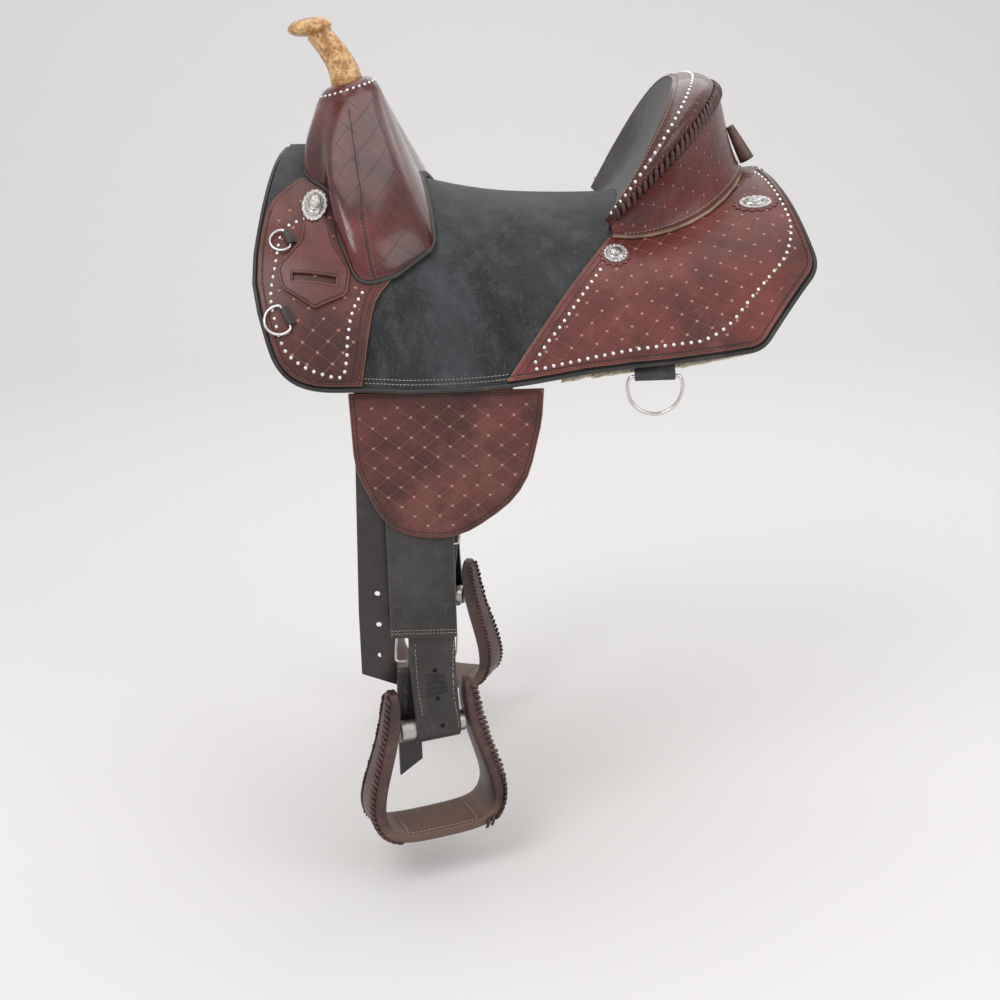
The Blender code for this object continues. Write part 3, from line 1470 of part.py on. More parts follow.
def main():
    clear_scene()
    make_layers()
    make_pommel()
    make_horn()
    make_cantle()
    make_roll()
    make_conchos()
    make_keepers()
    make_front_dees()
    make_rear_dees()
    make_hangers()
    make_fenders()
    make_stirrup_leathers()
    make_stirrups()
    make_billets()


main()
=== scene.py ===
"""Looks of a treeless barrel saddle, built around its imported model, in metres.

Leather layers are laid out as flat patterns: (x, s) is the place along the horse and the distance
down from the spine line, and drape() puts it on the body.
"""

import json
import math
import random

import bmesh
import bpy
import numpy as np
from bpy.props import FloatProperty, FloatVectorProperty, PointerProperty
from bpy.types import Operator, Panel, PropertyGroup
from mathutils import Matrix, Vector
from mathutils.bvhtree import BVHTree
from mathutils.geometry import delaunay_2d_cdt


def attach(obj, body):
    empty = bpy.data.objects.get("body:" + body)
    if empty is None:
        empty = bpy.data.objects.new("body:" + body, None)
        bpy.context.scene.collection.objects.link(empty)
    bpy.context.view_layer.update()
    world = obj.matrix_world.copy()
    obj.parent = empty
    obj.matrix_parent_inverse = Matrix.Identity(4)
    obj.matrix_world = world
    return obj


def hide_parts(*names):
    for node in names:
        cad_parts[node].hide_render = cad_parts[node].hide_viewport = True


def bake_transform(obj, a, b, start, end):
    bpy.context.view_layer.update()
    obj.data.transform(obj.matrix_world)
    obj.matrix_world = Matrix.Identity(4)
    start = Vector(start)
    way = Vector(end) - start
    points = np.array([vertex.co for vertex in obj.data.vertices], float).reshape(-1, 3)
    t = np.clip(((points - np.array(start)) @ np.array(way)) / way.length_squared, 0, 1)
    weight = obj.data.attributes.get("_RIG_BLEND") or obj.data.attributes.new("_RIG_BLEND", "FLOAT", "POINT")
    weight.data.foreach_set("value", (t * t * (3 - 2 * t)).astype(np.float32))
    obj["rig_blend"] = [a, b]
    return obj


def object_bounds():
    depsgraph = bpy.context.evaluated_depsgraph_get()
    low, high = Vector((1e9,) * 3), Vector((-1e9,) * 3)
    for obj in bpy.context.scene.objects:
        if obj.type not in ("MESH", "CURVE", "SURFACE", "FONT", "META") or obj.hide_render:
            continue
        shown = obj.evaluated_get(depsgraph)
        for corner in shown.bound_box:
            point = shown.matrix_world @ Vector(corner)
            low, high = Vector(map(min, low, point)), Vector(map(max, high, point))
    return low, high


bl_info = {
    "name": "Barrel saddle dressing",
    "version": (1, 0, 0),
    "blender": (4, 5, 0),
    "location": "3D View > Sidebar > Saddle",
    "description": "Leather, suede, fleece, spots, stitching and lacing of a treeless saddle",
    "category": "Object",
}

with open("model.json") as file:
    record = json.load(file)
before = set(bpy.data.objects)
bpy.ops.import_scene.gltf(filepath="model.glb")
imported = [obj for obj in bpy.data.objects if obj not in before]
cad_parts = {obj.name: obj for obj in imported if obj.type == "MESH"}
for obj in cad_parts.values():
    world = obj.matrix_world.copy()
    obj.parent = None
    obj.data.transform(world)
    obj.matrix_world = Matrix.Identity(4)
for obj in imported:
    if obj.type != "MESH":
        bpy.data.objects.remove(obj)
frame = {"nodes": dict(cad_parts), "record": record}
CAD_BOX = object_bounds()
NODES = frame["nodes"]
SIDES = ((-1, "left"), (1, "right"))


# The draped body

SPINE_X = (-0.340, -0.300, -0.260, -0.200, -0.140, -0.060, 0.030, 0.120, 0.200, 0.260, 0.300, 0.340)
SPINE_Z = (0.056, 0.061, 0.060, 0.045, 0.0235, 0.005, -0.002, -0.001, 0.009, 0.018, 0.017, 0.009)
SEAT_HEIGHT = 0.0264
HALF_SPAN = 0.250
EDGE_DROP = 0.185
EDGE_ANGLE = math.radians(72)
ANGLES = np.linspace(0.0, math.radians(100), 240)

# Corners (x, s, radius) of outlines in the flat pattern.
SKIRT = (
    (-0.297, 0.000, 0.000), (-0.325, 0.245, 0.200), (-0.290, 0.381, 0.075), (-0.120, 0.345, 0.300),
    (0.080, 0.309, 0.300), (0.255, 0.308, 0.030), (0.326, 0.205, 0.045), (0.296, 0.060, 0.100),
    (0.286, 0.000, 0.000),
)
FRONT_REGION = (
    (-0.400, -0.010, 0.0), (-0.128, -0.010, 0.0), (-0.128, 0.165, 0.020), (-0.185, 0.255, 0.080),
    (-0.207, 0.400, 0.0), (-0.400, 0.400, 0.0),
)
REAR_REGION = (
    (0.128, -0.010, 0.0), (0.400, -0.010, 0.0), (0.400, 0.400, 0.0), (-0.046, 0.400, 0.0),
    (-0.038, 0.326, 0.010), (0.100, 0.120, 0.015),
)
FRONT_LEATHER = (
    (-0.110, 0.096, 0.0), (-0.110, 0.450, 0.0), (-0.400, 0.450, 0.0), (-0.400, 0.260, 0.0),
    (-0.316, 0.200, 0.030), (-0.303, 0.140, 0.040), (-0.270, 0.099, 0.030),
)
POCKET = ((-0.240, 0.45), (-0.240, 0.262), (0.026, 0.262), (0.026, 0.45))
PANEL_TOP = 0.0045
PANEL_BOTTOM = 0.0010
PANEL_MARGIN = 0.006


def spine(x):
    """Height of the spine line at x, and its slope."""
    x = np.asarray(x, float)
    xs, zs = np.array(SPINE_X), np.array(SPINE_Z)
    slopes = np.gradient(zs, xs)
    i = np.clip(np.searchsorted(xs, x) - 1, 0, len(xs) - 2)
    span = xs[i + 1] - xs[i]
    t = (x - xs[i]) / span
    rise = (
        (2 * t ** 3 - 3 * t ** 2 + 1) * zs[i] + (t ** 3 - 2 * t ** 2 + t) * span * slopes[i]
        + (3 * t ** 2 - 2 * t ** 3) * zs[i + 1] + (t ** 3 - t ** 2) * span * slopes[i + 1]
    )
    slope = (
        6 * (t ** 2 - t) * (zs[i] - zs[i + 1]) / span
        + (3 * t ** 2 - 4 * t + 1) * slopes[i] + (3 * t ** 2 - 2 * t) * slopes[i + 1]
    )
    return rise + SEAT_HEIGHT, slope


def drape(points, lift, side=-1):
    """Places pattern points (x, s) on one side of the body, at a height above the seat cover."""
    points = np.atleast_2d(np.asarray(points, float))
    x, s = points[:, 0], points[:, 1]
    lift = np.broadcast_to(lift, x.shape)
    way = np.where(s < 0, -side, side)
    top, slope = spine(x)
    wide = HALF_SPAN / math.sin(EDGE_ANGLE)
    deep = (top - SEAT_HEIGHT + EDGE_DROP) / (1 - math.cos(EDGE_ANGLE))
    speed = np.sqrt(
        (wide * np.cos(ANGLES))[None] ** 2 + (deep[:, None] * np.sin(ANGLES)[None]) ** 2
    )
    runs = np.cumsum(0.5 * (speed[:, 1:] + speed[:, :-1]) * np.diff(ANGLES)[None], axis=1)
    runs = np.hstack([np.zeros((len(x), 1)), runs])
    angle = np.array([np.interp(d, run, ANGLES) for d, run in zip(np.abs(s), runs)])
    sin, cos = np.sin(angle), np.cos(angle)
    spot = np.stack([x, way * wide * sin, top - deep * (1 - cos)], axis=1)
    down = np.stack([0 * x, way * wide * cos, -deep * sin], axis=1)
    climb = slope * (1 - (1 - cos) / (1 - math.cos(EDGE_ANGLE)))
    out = np.cross(np.stack([0 * x + 1, 0 * x, climb], axis=1), down)
    out /= np.linalg.norm(out, axis=1)[:, None]
    out *= np.where(out[:, 2] * cos + out[:, 1] * way > 0, 1, -1)[:, None]
    return spot + out * lift[:, None], out


# Outlines

def rounded(corners, arc_step=math.radians(10)):
    """Outline through the corners (u, v, radius), each rounded by an arc."""
    points = []
    for i, (u, v, radius) in enumerate(corners):
        here = Vector((u, v))
        if radius == 0.0:
            points.append(here)
            continue
        before = Vector(corners[i - 1][:2]) - here
        after = Vector(corners[(i + 1) % len(corners)][:2]) - here
        angle = before.angle(after)
        cut = min(radius / math.tan(angle / 2), 0.45 * before.length, 0.45 * after.length)
        start, end = here + before.normalized() * cut, here + after.normalized() * cut
        steps = max(1, round((math.pi - angle) / arc_step))
        for k in range(steps + 1):
            t = k / steps
            points.append((1 - t) ** 2 * start + 2 * t * (1 - t) * here + t ** 2 * end)
    return points


def both_sides(near):
    """The closed outline of one half and its mirror image."""
    return near + [Vector((p.x, -p.y)) for p in reversed(near[1:-1])]


def divided(points, step=0.006):
    """The closed outline with its long edges divided."""
    result = []
    for here, after in zip(points, points[1:] + points[:1]):
        pieces = max(1, math.ceil((after - here).length / step - 0.01))
        result += [here.lerp(after, k / pieces) for k in range(pieces)]
    return result


def inset(points, distance):
    """The closed outline moved inwards by a distance."""
    area = sum(a.x * b.y - b.x * a.y for a, b in zip(points, points[1:] + points[:1]))
    turn = 1 if area > 0 else -1
    result = []
    for before, here, after in zip(points[-1:] + points[:-1], points, points[1:] + points[:1]):
        first, second = (here - before).normalized(), (after - here).normalized()
        bisector = Vector((-(first.y + second.y), first.x + second.x)).normalized() * turn
        inward = Vector((-first.y, first.x)) * turn
        result.append(here + bisector * distance / max(0.35, bisector.dot(inward)))
    return result


def skirt(margin=0.0):
    """The whole skirt's outline, moved inwards by a margin."""
    outline = both_sides(rounded(SKIRT))
    return divided(inset(outline, margin) if margin else outline)


def one_side(gap):
    """The part of the pattern on one side, off the spine line by a gap."""
    line = [Vector((k * 0.006, gap)) for k in range(-60, 61)]
    return line + [Vector((0.36, 0.5)), Vector((-0.36, 0.5))]


def edge_distance(points, outlines):
    """Distance of each point to the nearest of the outlines."""
    best = np.full(len(points), 9.0)
    for outline in outlines:
        a = np.array([p[:] for p in outline])
        b = np.roll(a, -1, axis=0)
        for p, q in zip(a, b):
            run = q - p
            t = np.clip(((points - p) @ run) / max(run @ run, 1e-12), 0, 1)
            best = np.minimum(best, np.linalg.norm(points - p - t[:, None] * run, axis=1))
    return best


def smooth_run(points, steps=8):
    """An even curve through measured points."""
    result = []
    for i in range(len(points) - 1):
        p = [Vector(points[min(max(i + k, 0), len(points) - 1)]) for k in (-1, 0, 1, 2)]
        for k in range(steps):
            t = k / steps
            result.append(0.5 * (
                2 * p[1] + (p[2] - p[0]) * t + (2 * p[0] - 5 * p[1] + 4 * p[2] - p[3]) * t ** 2
                + (3 * p[1] - 3 * p[2] + p[3] - p[0]) * t ** 3
            ))
    return result + [Vector(points[-1])]


# Meshes

def new_piece(name, mesh, body, material, *nodes, slot=None):
    """An object that stands for the nodes and, unless it is blended later, rides on a body."""
    obj = bpy.data.objects.new(name, mesh)
    bpy.context.scene.collection.objects.link(obj)
    mesh.materials.clear()
    mesh.materials.append(finish_for(material))
    if body:
        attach(obj, body)
    if nodes:
        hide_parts(*nodes)
    return obj


def cut_pattern(inside, holes, step):
    """Points and triangles of the area inside every outline and outside every hole."""
    points, faces = [], []
    for outline in inside + holes:
        face = list(range(len(points), len(points) + len(outline)))
        area = sum(a.x * b.y - b.x * a.y for a, b in zip(outline, outline[1:] + outline[:1]))
        faces.append(face if area > 0 else face[::-1])
        points += outline
    edge = np.array([p[:] for p in points])
    low, high = edge[:len(inside[0])].min(axis=0), edge[:len(inside[0])].max(axis=0)
    across, along = np.meshgrid(
        np.arange(math.floor(low[0] / step), math.ceil(high[0] / step) + 1) * step,
        np.arange(math.floor(low[1] / step), math.ceil(high[1] / step) + 1) * step,
    )
    spots = np.stack([across.ravel(), along.ravel()], axis=1)
    gaps = np.concatenate([
        np.min(np.linalg.norm(chunk[:, None] - edge[None], axis=2), axis=1)
        for chunk in np.array_split(spots, max(1, len(spots) // 500))
    ])
    points += [Vector(p) for p in spots[gaps > 0.4 * step]]
    found = delaunay_2d_cdt(points, [], faces, 0, 1e-7, True)
    wanted = set(range(len(inside)))
    kept = [
        face for face, origin in zip(found[2], found[5])
        if wanted <= set(origin) and not set(origin) - wanted
    ]
    used = sorted({i for face in kept for i in face})
    place = {old: new for new, old in enumerate(used)}
    return (
        np.array([found[0][i][:] for i in used]),
        [[place[i] for i in face] for face in kept],
    )


def sheet_mesh(name, inside, holes, low, high, step, place, edges=(), ruffle=None):
    """A sheet cut to a pattern between two heights, with UVs and the distance to its edges."""
    flat, triangles = cut_pattern(inside, holes, step)
    distance = edge_distance(flat, edges or inside)
    top = place(flat, high + (ruffle(flat) if ruffle else 0.0))
    count = len(flat)
    points = np.vstack([top, place(flat, low)])
    directed = dict.fromkeys(
        pair for face in triangles for pair in zip(face, face[1:] + face[:1])
    )
    faces = [list(face) for face in triangles]
    faces += [[i + count for i in reversed(face)] for face in triangles]
    faces += [[b, a, a + count, b + count] for a, b in directed if (b, a) not in directed]
    return surface_mesh(name, points, faces, np.vstack([flat, flat]), np.tile(distance, 2))


def surface_mesh(name, points, faces, pattern=None, distance=None, smooth=40):
    """A closed mesh with outward faces, smooth but for its sharp edges."""
    mesh = bpy.data.meshes.new(name)
    mesh.from_pydata([tuple(p) for p in points], [], faces)
    mesh.validate()
    if pattern is not None:
        layer = mesh.uv_layers.new(name="pattern")
        for loop, value in zip(mesh.loops, layer.data):
            value.uv = pattern[loop.vertex_index]
    if distance is not None:
        attribute = mesh.attributes.new("edge", "FLOAT", "POINT")
        attribute.data.foreach_set("value", np.asarray(distance, np.float32))
    shape = bmesh.new()
    shape.from_mesh(mesh)
    bmesh.ops.recalc_face_normals(shape, faces=shape.faces)
    shape.to_mesh(mesh)
    shape.free()
    mesh.shade_smooth()
    mesh.set_sharp_from_angle(angle=math.radians(smooth))
    return mesh


def applied(obj):
    """Makes the object's modifiers part of its mesh."""
    bpy.context.view_layer.update()
    graph = bpy.context.evaluated_depsgraph_get()
    mesh = bpy.data.meshes.new_from_object(obj.evaluated_get(graph))
    obj.modifiers.clear()
    old = obj.data
    obj.data = mesh
    bpy.data.meshes.remove(old)
    return obj


def softened(obj, width, segments=2):
    """Rounds the sharp edges of a sheet by a narrow bevel."""
    bevel = obj.modifiers.new("edge", "BEVEL")
    bevel.width = width
    bevel.segments = segments
    bevel.limit_method = "ANGLE"
    bevel.angle_limit = math.radians(35)
    bevel.use_clamp_overlap = True
    bevel.harden_normals = False
    applied(obj)
    obj.data.shade_smooth()
    obj.data.set_sharp_from_angle(angle=math.radians(50))
    return obj


def refined(node, crease=38, quads=True):
    """A copy of a node's mesh, ready to be smoothed, whose sharp edges stay sharp."""
    shape = bmesh.new()
    shape.from_mesh(NODES[node].data)
    bmesh.ops.remove_doubles(shape, verts=shape.verts, dist=1e-5)
    if quads:
        bmesh.ops.join_triangles(
            shape, faces=shape.faces, angle_face_threshold=math.radians(35),
            angle_shape_threshold=math.radians(50),
        )
    floats = shape.edges.layers.float
    layer = floats.get("crease_edge") or floats.new("crease_edge")
    for edge in shape.edges:
        if len(edge.link_faces) == 2 and edge.calc_face_angle(0.0) > math.radians(crease):
            edge[layer] = 1.0
    mesh = bpy.data.meshes.new(node + "_dressed")
    shape.to_mesh(mesh)
    shape.free()
    return mesh


def dressed(node, body, material, slot, levels=2, crease=38, bevel=0.0):
    """A smooth piece that stands for one node."""
    obj = new_piece(node + "_dressed", refined(node, crease), body, material, node, slot=slot)
    if levels:
        smooth = obj.modifiers.new("smooth", "SUBSURF")
        smooth.levels = smooth.render_levels = levels
        applied(obj)
    if bevel:
        softened(obj, bevel)
    obj.data.shade_smooth()
    obj.data.set_sharp_from_angle(angle=math.radians(crease + 8))
    return obj


# Shader maths

class Maths:
    """A socket in a material's node tree, with the operators that add its Math nodes."""

    def __init__(self, tree, socket):
        self.tree, self.socket = tree, socket

    def math(self, operation, *values):
        """A new Math node on this socket and the values."""
        node = self.tree.nodes.new("ShaderNodeMath")
        node.operation = operation
        for value, port in zip((self, *values), node.inputs):
            if isinstance(value, Maths):
                self.tree.links.new(value.socket, port)
            else:
                port.default_value = value
        return Maths(self.tree, node.outputs[0])

    def __add__(self, other):
        return self.math("ADD", other)

    def __radd__(self, other):
        return self.math("ADD", other)

    def __sub__(self, other):
        return self.math("SUBTRACT", other)

    def __rsub__(self, other):
        return self.math("MULTIPLY", -1.0).math("ADD", other)

    def __mul__(self, other):
        return self.math("MULTIPLY", other)

    def __rmul__(self, other):
        return self.math("MULTIPLY", other)

    def __truediv__(self, other):
        return self.math("DIVIDE", other)

    def __abs__(self):
        return self.math("ABSOLUTE")

    def low(self, other):
        return self.math("MINIMUM", other)

    def high(self, other):
        return self.math("MAXIMUM", other)

    def wave(self):
        return self.math("SINE")

    def to_whole(self):
        """Distance to the nearest whole number."""
        return abs(self.math("FRACT") - 0.5) * -1.0 + 0.5

    def clipped(self):
        return self.high(0.0).low(1.0)

    def below(self, edge, blur):
        """1 below the edge and 0 above it, over a soft step."""
        return ((self - edge) * (-1.0 / blur) + 0.5).clipped()


class Paint:
    """A material that is built from a few plain words."""

    def __init__(self, name):
        self.material = bpy.data.materials.new(name)
        self.material.use_nodes = True
        self.tree = self.material.node_tree
        self.shader = self.tree.nodes["Principled BSDF"]
        self.spot = self.node("ShaderNodeTexCoord", out="Object").socket

    def node(self, kind, settings=(), out=0, **sockets):
        """A node with its settings, its sockets' values or links, and one of its outputs."""
        node = self.tree.nodes.new(kind)
        for name, value in dict(settings).items():
            if name == "stops":
                for k, (place, colour) in enumerate(value):
                    stops = node.color_ramp.elements
                    stop = stops[k] if k < len(stops) else stops.new(place)
                    stop.position, stop.color = place, colour
            else:
                setattr(node, name, value)
        for name, value in sockets.items():
            port = node.inputs[int(name[1:])] if name[0] == "i" and name[1:].isdigit() else (
                node.inputs[name.replace("_", " ")]
            )
            if isinstance(value, Maths):
                value = value.socket
            if isinstance(value, bpy.types.NodeSocket):
                self.tree.links.new(value, port)
            else:
                port.default_value = value
        return Maths(self.tree, node.outputs[out])

    def noise(self, scale, detail=3.0, roughness=0.55, stretch=None, distort=0.0):
        """Noise over the piece, on coordinates that may be stretched."""
        spot = self.spot
        if stretch:
            spot = self.node("ShaderNodeVectorMath", {"operation": "MULTIPLY"}, i0=spot, i1=stretch)
        return self.node(
            "ShaderNodeTexNoise", Vector=spot, Scale=scale, Detail=detail, Roughness=roughness,
            Distortion=distort,
        )

    def cells(self, scale):
        return self.node("ShaderNodeTexVoronoi", Vector=self.spot, Scale=scale)

    def split(self, vector):
        """The three numbers of a vector."""
        split = self.tree.nodes.new("ShaderNodeSeparateXYZ")
        self.tree.links.new(vector, split.inputs[0])
        return [Maths(self.tree, port) for port in split.outputs]

    def pattern(self):
        """The two coordinates of the piece's flat pattern."""
        return self.split(self.node("ShaderNodeUVMap", {"uv_map": "pattern"}).socket)[:2]

    def height(self):
        """The object's z, which is the model's at rest."""
        return self.split(self.spot)[2]

    def attribute(self, name):
        return self.node("ShaderNodeAttribute", {"attribute_name": name}, out="Fac")

    def mix(self, share, first, second):
        """Colour between two colours, or links to colours."""
        node = self.tree.nodes.new("ShaderNodeMix")
        node.data_type = "RGBA"
        values = (share, None, None, None, None, None, first, second)
        for port, value in zip(node.inputs, values):
            if value is None:
                continue
            value = value.socket if isinstance(value, Maths) else value
            if isinstance(value, bpy.types.NodeSocket):
                self.tree.links.new(value, port)
            else:
                port.default_value = (*value, 1.0) if isinstance(value, tuple) else value
        return Maths(self.tree, node.outputs[2])

    def finish(self, colour, roughness, height=None, depth=0.0005, metallic=0.0, **fixed):
        """Links the colour, roughness and height to the shader."""
        for name, value in (("Base Color", colour), ("Roughness", roughness)):
            if isinstance(value, Maths):
                self.tree.links.new(value.socket, self.shader.inputs[name])
            else:
                value = (*value, 1.0) if isinstance(value, tuple) else value
                self.shader.inputs[name].default_value = value
        self.shader.inputs["Metallic"].default_value = metallic
        for name, value in fixed.items():
            self.shader.inputs[name.replace("_", " ")].default_value = value
        if height is not None:
            bump = self.node("ShaderNodeBump", Height=height, Distance=depth, Strength=1.0)
            self.tree.links.new(bump.socket, self.shader.inputs["Normal"])
        return self.material


def grid_lines(paint, u, v, first, second, width, wobble):
    """Lines of a diamond grid with sides first and second, and the dots where they cross.

    Each side is (length, angle) in the pattern's plane.
    """
    (a, turn_a), (b, turn_b) = first, second
    ax, ay = a * math.cos(turn_a), a * math.sin(turn_a)
    bx, by = b * math.cos(turn_b), b * math.sin(turn_b)
    scale = 1 / (ax * by - ay * bx)
    p = u * (by * scale) - v * (bx * scale)
    q = v * (ax * scale) - u * (ay * scale)
    shake = (paint.noise(60, 2.0) - 0.5) * wobble
    p, q = p + shake, q + shake
    near_p, near_q = p.to_whole(), q.to_whole()
    lines = (near_p * b).low(near_q * a).below(width / 2, width * 0.6)
    dots = ((near_p * b) * (near_p * b) + (near_q * a) * (near_q * a)).math("SQRT")
    return lines, dots.below(width * 1.35, width * 0.9)


def leather_grain(paint):
    """Pores and creases of full-grain leather, and its uneven dye."""
    pores = paint.cells(900)
    fine = paint.noise(420, 4.0, 0.6)
    creases = paint.noise(55, 5.0, 0.65, distort=0.6)
    dye = paint.noise(14, 4.0, 0.6)
    return pores * 0.35 + fine * 0.35 + creases * 0.5, dye, creases


def tooled(name, main, dark, light, sides, border, width=0.0011, shine=0.34,
           lines_in=(0.29, 0.11, 0.078), dots_in=(0.52, 0.30, 0.20), coat=0.18):
    """Chestnut leather with a stamped diamond grid, and a plain border along its cut edge."""
    paint = Paint(name)
    u, v = paint.pattern()
    grain, dye, _ = leather_grain(paint)
    edge = paint.attribute("edge")
    lines, dots = grid_lines(paint, u, v, *sides, width, 0.03)
    inner = ((edge - border) * 400.0).clipped()
    lines, dots = lines * inner, dots * inner
    worn = paint.noise(9, 5.0, 0.7).below(0.42, 0.10)
    rub = (paint.noise(230, 3.0, 0.7).below(0.40, 0.12)) * 0.35
    colour = paint.mix(dye.below(0.52, 0.30), tuple(main), tuple(dark))
    colour = paint.mix(worn * 0.30 + rub * 0.30, colour, tuple(light))
    colour = paint.mix(lines * 0.42, colour, lines_in)
    colour = paint.mix(dots * 0.85, colour, dots_in)
    cut = edge.below(0.0007, 0.0008)
    colour = paint.mix(cut * 0.55, colour, (0.34, 0.16, 0.11))
    height = grain * 0.16 - lines * 0.55 + dots * 0.30 - cut * 0.4
    ring = abs(edge - border * 0.33).below(0.0004, 0.0005)
    colour = paint.mix(ring * 0.6, colour, tuple(c * 0.25 for c in dark))
    height = height - ring * 0.6
    rough = paint.noise(70, 3.0) * 0.22 + (shine - 0.06) + worn * 0.08
    return paint.finish(
        colour, rough.clipped(), height, 0.0009, Coat_Weight=coat, Coat_Roughness=0.16,
        Specular_IOR_Level=0.35,
    )


def plain_leather(name, main, dark, light, roughness=0.45, coat=0.15, grain_size=1.0, bump=0.0006,
                  worn_below=None):
    """Smooth leather with grain, uneven dye and scuffs, and a pale worn face below a height."""
    paint = Paint(name)
    grain, dye, creases = leather_grain(paint)
    scuff = paint.noise(26 * grain_size, 6.0, 0.72).below(0.43, 0.09)
    colour = paint.mix(dye.below(0.5, 0.3), main, dark)
    colour = paint.mix(scuff * 0.35, colour, light)
    if worn_below is not None:
        rubbed = paint.height().below(worn_below, 0.014) * (creases * 0.5 + 0.55)
        colour = paint.mix(rubbed.clipped(), colour, (0.150, 0.083, 0.060))
    rough = (paint.noise(80, 3.0) * 0.2 + (roughness - 0.08) + scuff * 0.12).clipped()
    return paint.finish(colour, rough, grain * 0.3 - creases * 0.2, bump, Coat_Weight=coat,
                        Coat_Roughness=0.25)


def suede(name, main, dark, light, streak=None):
    """Rough-out leather: short nap, chalky rub marks and worn patches."""
    paint = Paint(name)
    nap = paint.noise(900, 2.0, 0.7)
    clouds = paint.noise(11, 6.0, 0.68, stretch=streak)
    rub = paint.noise(38, 6.0, 0.75, stretch=streak).below(0.44, 0.12)
    chalk = paint.noise(6, 4.0, 0.6)
    colour = paint.mix(clouds.below(0.50, 0.34), light, dark)
    colour = paint.mix(chalk.below(0.47, 0.2) * 0.6, colour, main)
    colour = paint.mix(rub * 0.28, colour, tuple(c * 1.5 for c in light))
    colour = paint.mix(nap.below(0.5, 0.3) * 0.25, colour, tuple(c * 0.5 for c in dark))
    fleck = paint.noise(330, 4.0, 0.8, stretch=streak).below(0.40, 0.08)
    colour = paint.mix(fleck * 0.35, colour, tuple(c * 1.7 for c in light))
    height = nap * 0.7 + paint.noise(240, 3.0) * 0.5
    return paint.finish(
        colour, 0.93, height, 0.0007, Sheen_Weight=0.25, Sheen_Roughness=0.5,
        Specular_IOR_Level=0.25,
    )


def metal(name, colour, roughness, pitted=0.0):
    """Plated metal with haze, fine scratches and tarnish."""
    paint = Paint(name)
    haze = paint.noise(140, 4.0, 0.6)
    scratches = paint.noise(320, 2.0, 0.5, stretch=(1.0, 0.15, 1.0))
    tarnish = paint.noise(60, 5.0, 0.65).below(0.40, 0.12)
    shade = paint.mix(tarnish * (0.35 + pitted), colour, tuple(c * 0.35 for c in colour))
    rough = (haze * 0.16 + scratches * 0.08 + (roughness - 0.10) + tarnish * 0.15).clipped()
    return paint.finish(shade, rough, haze * 0.3 + scratches * 0.3, 0.0002, metallic=1.0)


def rawhide(name):
    """Varnished rawhide: golden, mottled with brown and worn pale in patches."""
    paint = Paint(name)
    blotch = paint.noise(70, 5.0, 0.7)
    flecks = paint.noise(260, 4.0, 0.7).below(0.42, 0.08)
    rings = (paint.height() * 900.0 + paint.noise(40, 2.0) * 7.0).wave()
    colour = paint.mix(blotch.below(0.50, 0.16), (0.80, 0.50, 0.22), (0.42, 0.19, 0.055))
    colour = paint.mix(flecks * 0.6, colour, (0.30, 0.12, 0.035))
    colour = paint.mix(paint.noise(120, 3.0).below(0.36, 0.08) * 0.7, colour, (0.92, 0.72, 0.45))
    height = blotch * 0.6 - flecks * 0.3 + rings * 0.18
    rough = (blotch * 0.25 + 0.26).clipped()
    return paint.finish(colour, rough, height, 0.0011, Coat_Weight=0.4, Coat_Roughness=0.18)


def fleece(name):
    """Sheared wool with curls and clumps."""
    paint = Paint(name)
    curls = paint.cells(260)
    clump = paint.noise(55, 5.0, 0.7)
    colour = paint.mix(clump.below(0.5, 0.3), (0.74, 0.66, 0.50), (0.50, 0.40, 0.25))
    colour = paint.mix(curls.below(0.25, 0.3) * 0.35, colour, (0.86, 0.80, 0.66))
    height = curls * 1.2 + clump * 0.8
    return paint.finish(colour, 0.95, height, 0.0030, Sheen_Weight=0.4, Sheen_Roughness=0.6,
                        Specular_IOR_Level=0.1)


def felt(name, colour):
    """Pressed fibres in layers."""
    paint = Paint(name)
    fibre = paint.noise(700, 3.0, 0.7)
    layers = paint.noise(40, 4.0)
    shade = paint.mix(layers.below(0.5, 0.3), colour, tuple(c * 0.55 for c in colour))
    return paint.finish(shade, 0.95, fibre, 0.0006, Sheen_Weight=0.2)


# Rows of small shapes

def shape_mesh(name, points, faces):
    """A small smooth shape for a row."""
    mesh = bpy.data.meshes.new(name)
    mesh.from_pydata(points, [], faces)
    shape = bmesh.new()
    shape.from_mesh(mesh)
    bmesh.ops.recalc_face_normals(shape, faces=shape.faces)
    shape.to_mesh(mesh)
    shape.free()
    mesh.shade_smooth()
    return mesh


def dome(radius, height, sides=12):
    """Round-headed spot, closed below."""
    rings = [(1.0, -0.25), (1.0, 0.12), (0.82, 0.55), (0.45, 0.90)]
    points = [
        (radius * r * math.cos(math.tau * k / sides), radius * r * math.sin(math.tau * k / sides),
         height * h)
        for r, h in rings for k in range(sides)
    ] + [(0, 0, height), (0, 0, -0.25 * height)]
    top, foot = len(points) - 2, len(points) - 1
    faces = [(foot, (k + 1) % sides, k) for k in range(sides)]
    for r in range(len(rings) - 1):
        for k in range(sides):
            after = (k + 1) % sides
            faces.append((r * sides + k, r * sides + after, (r + 1) * sides + after,
                          (r + 1) * sides + k))
    last = (len(rings) - 1) * sides
    faces += [(last + k, last + (k + 1) % sides, top) for k in range(sides)]
    return shape_mesh("spot", points, faces)


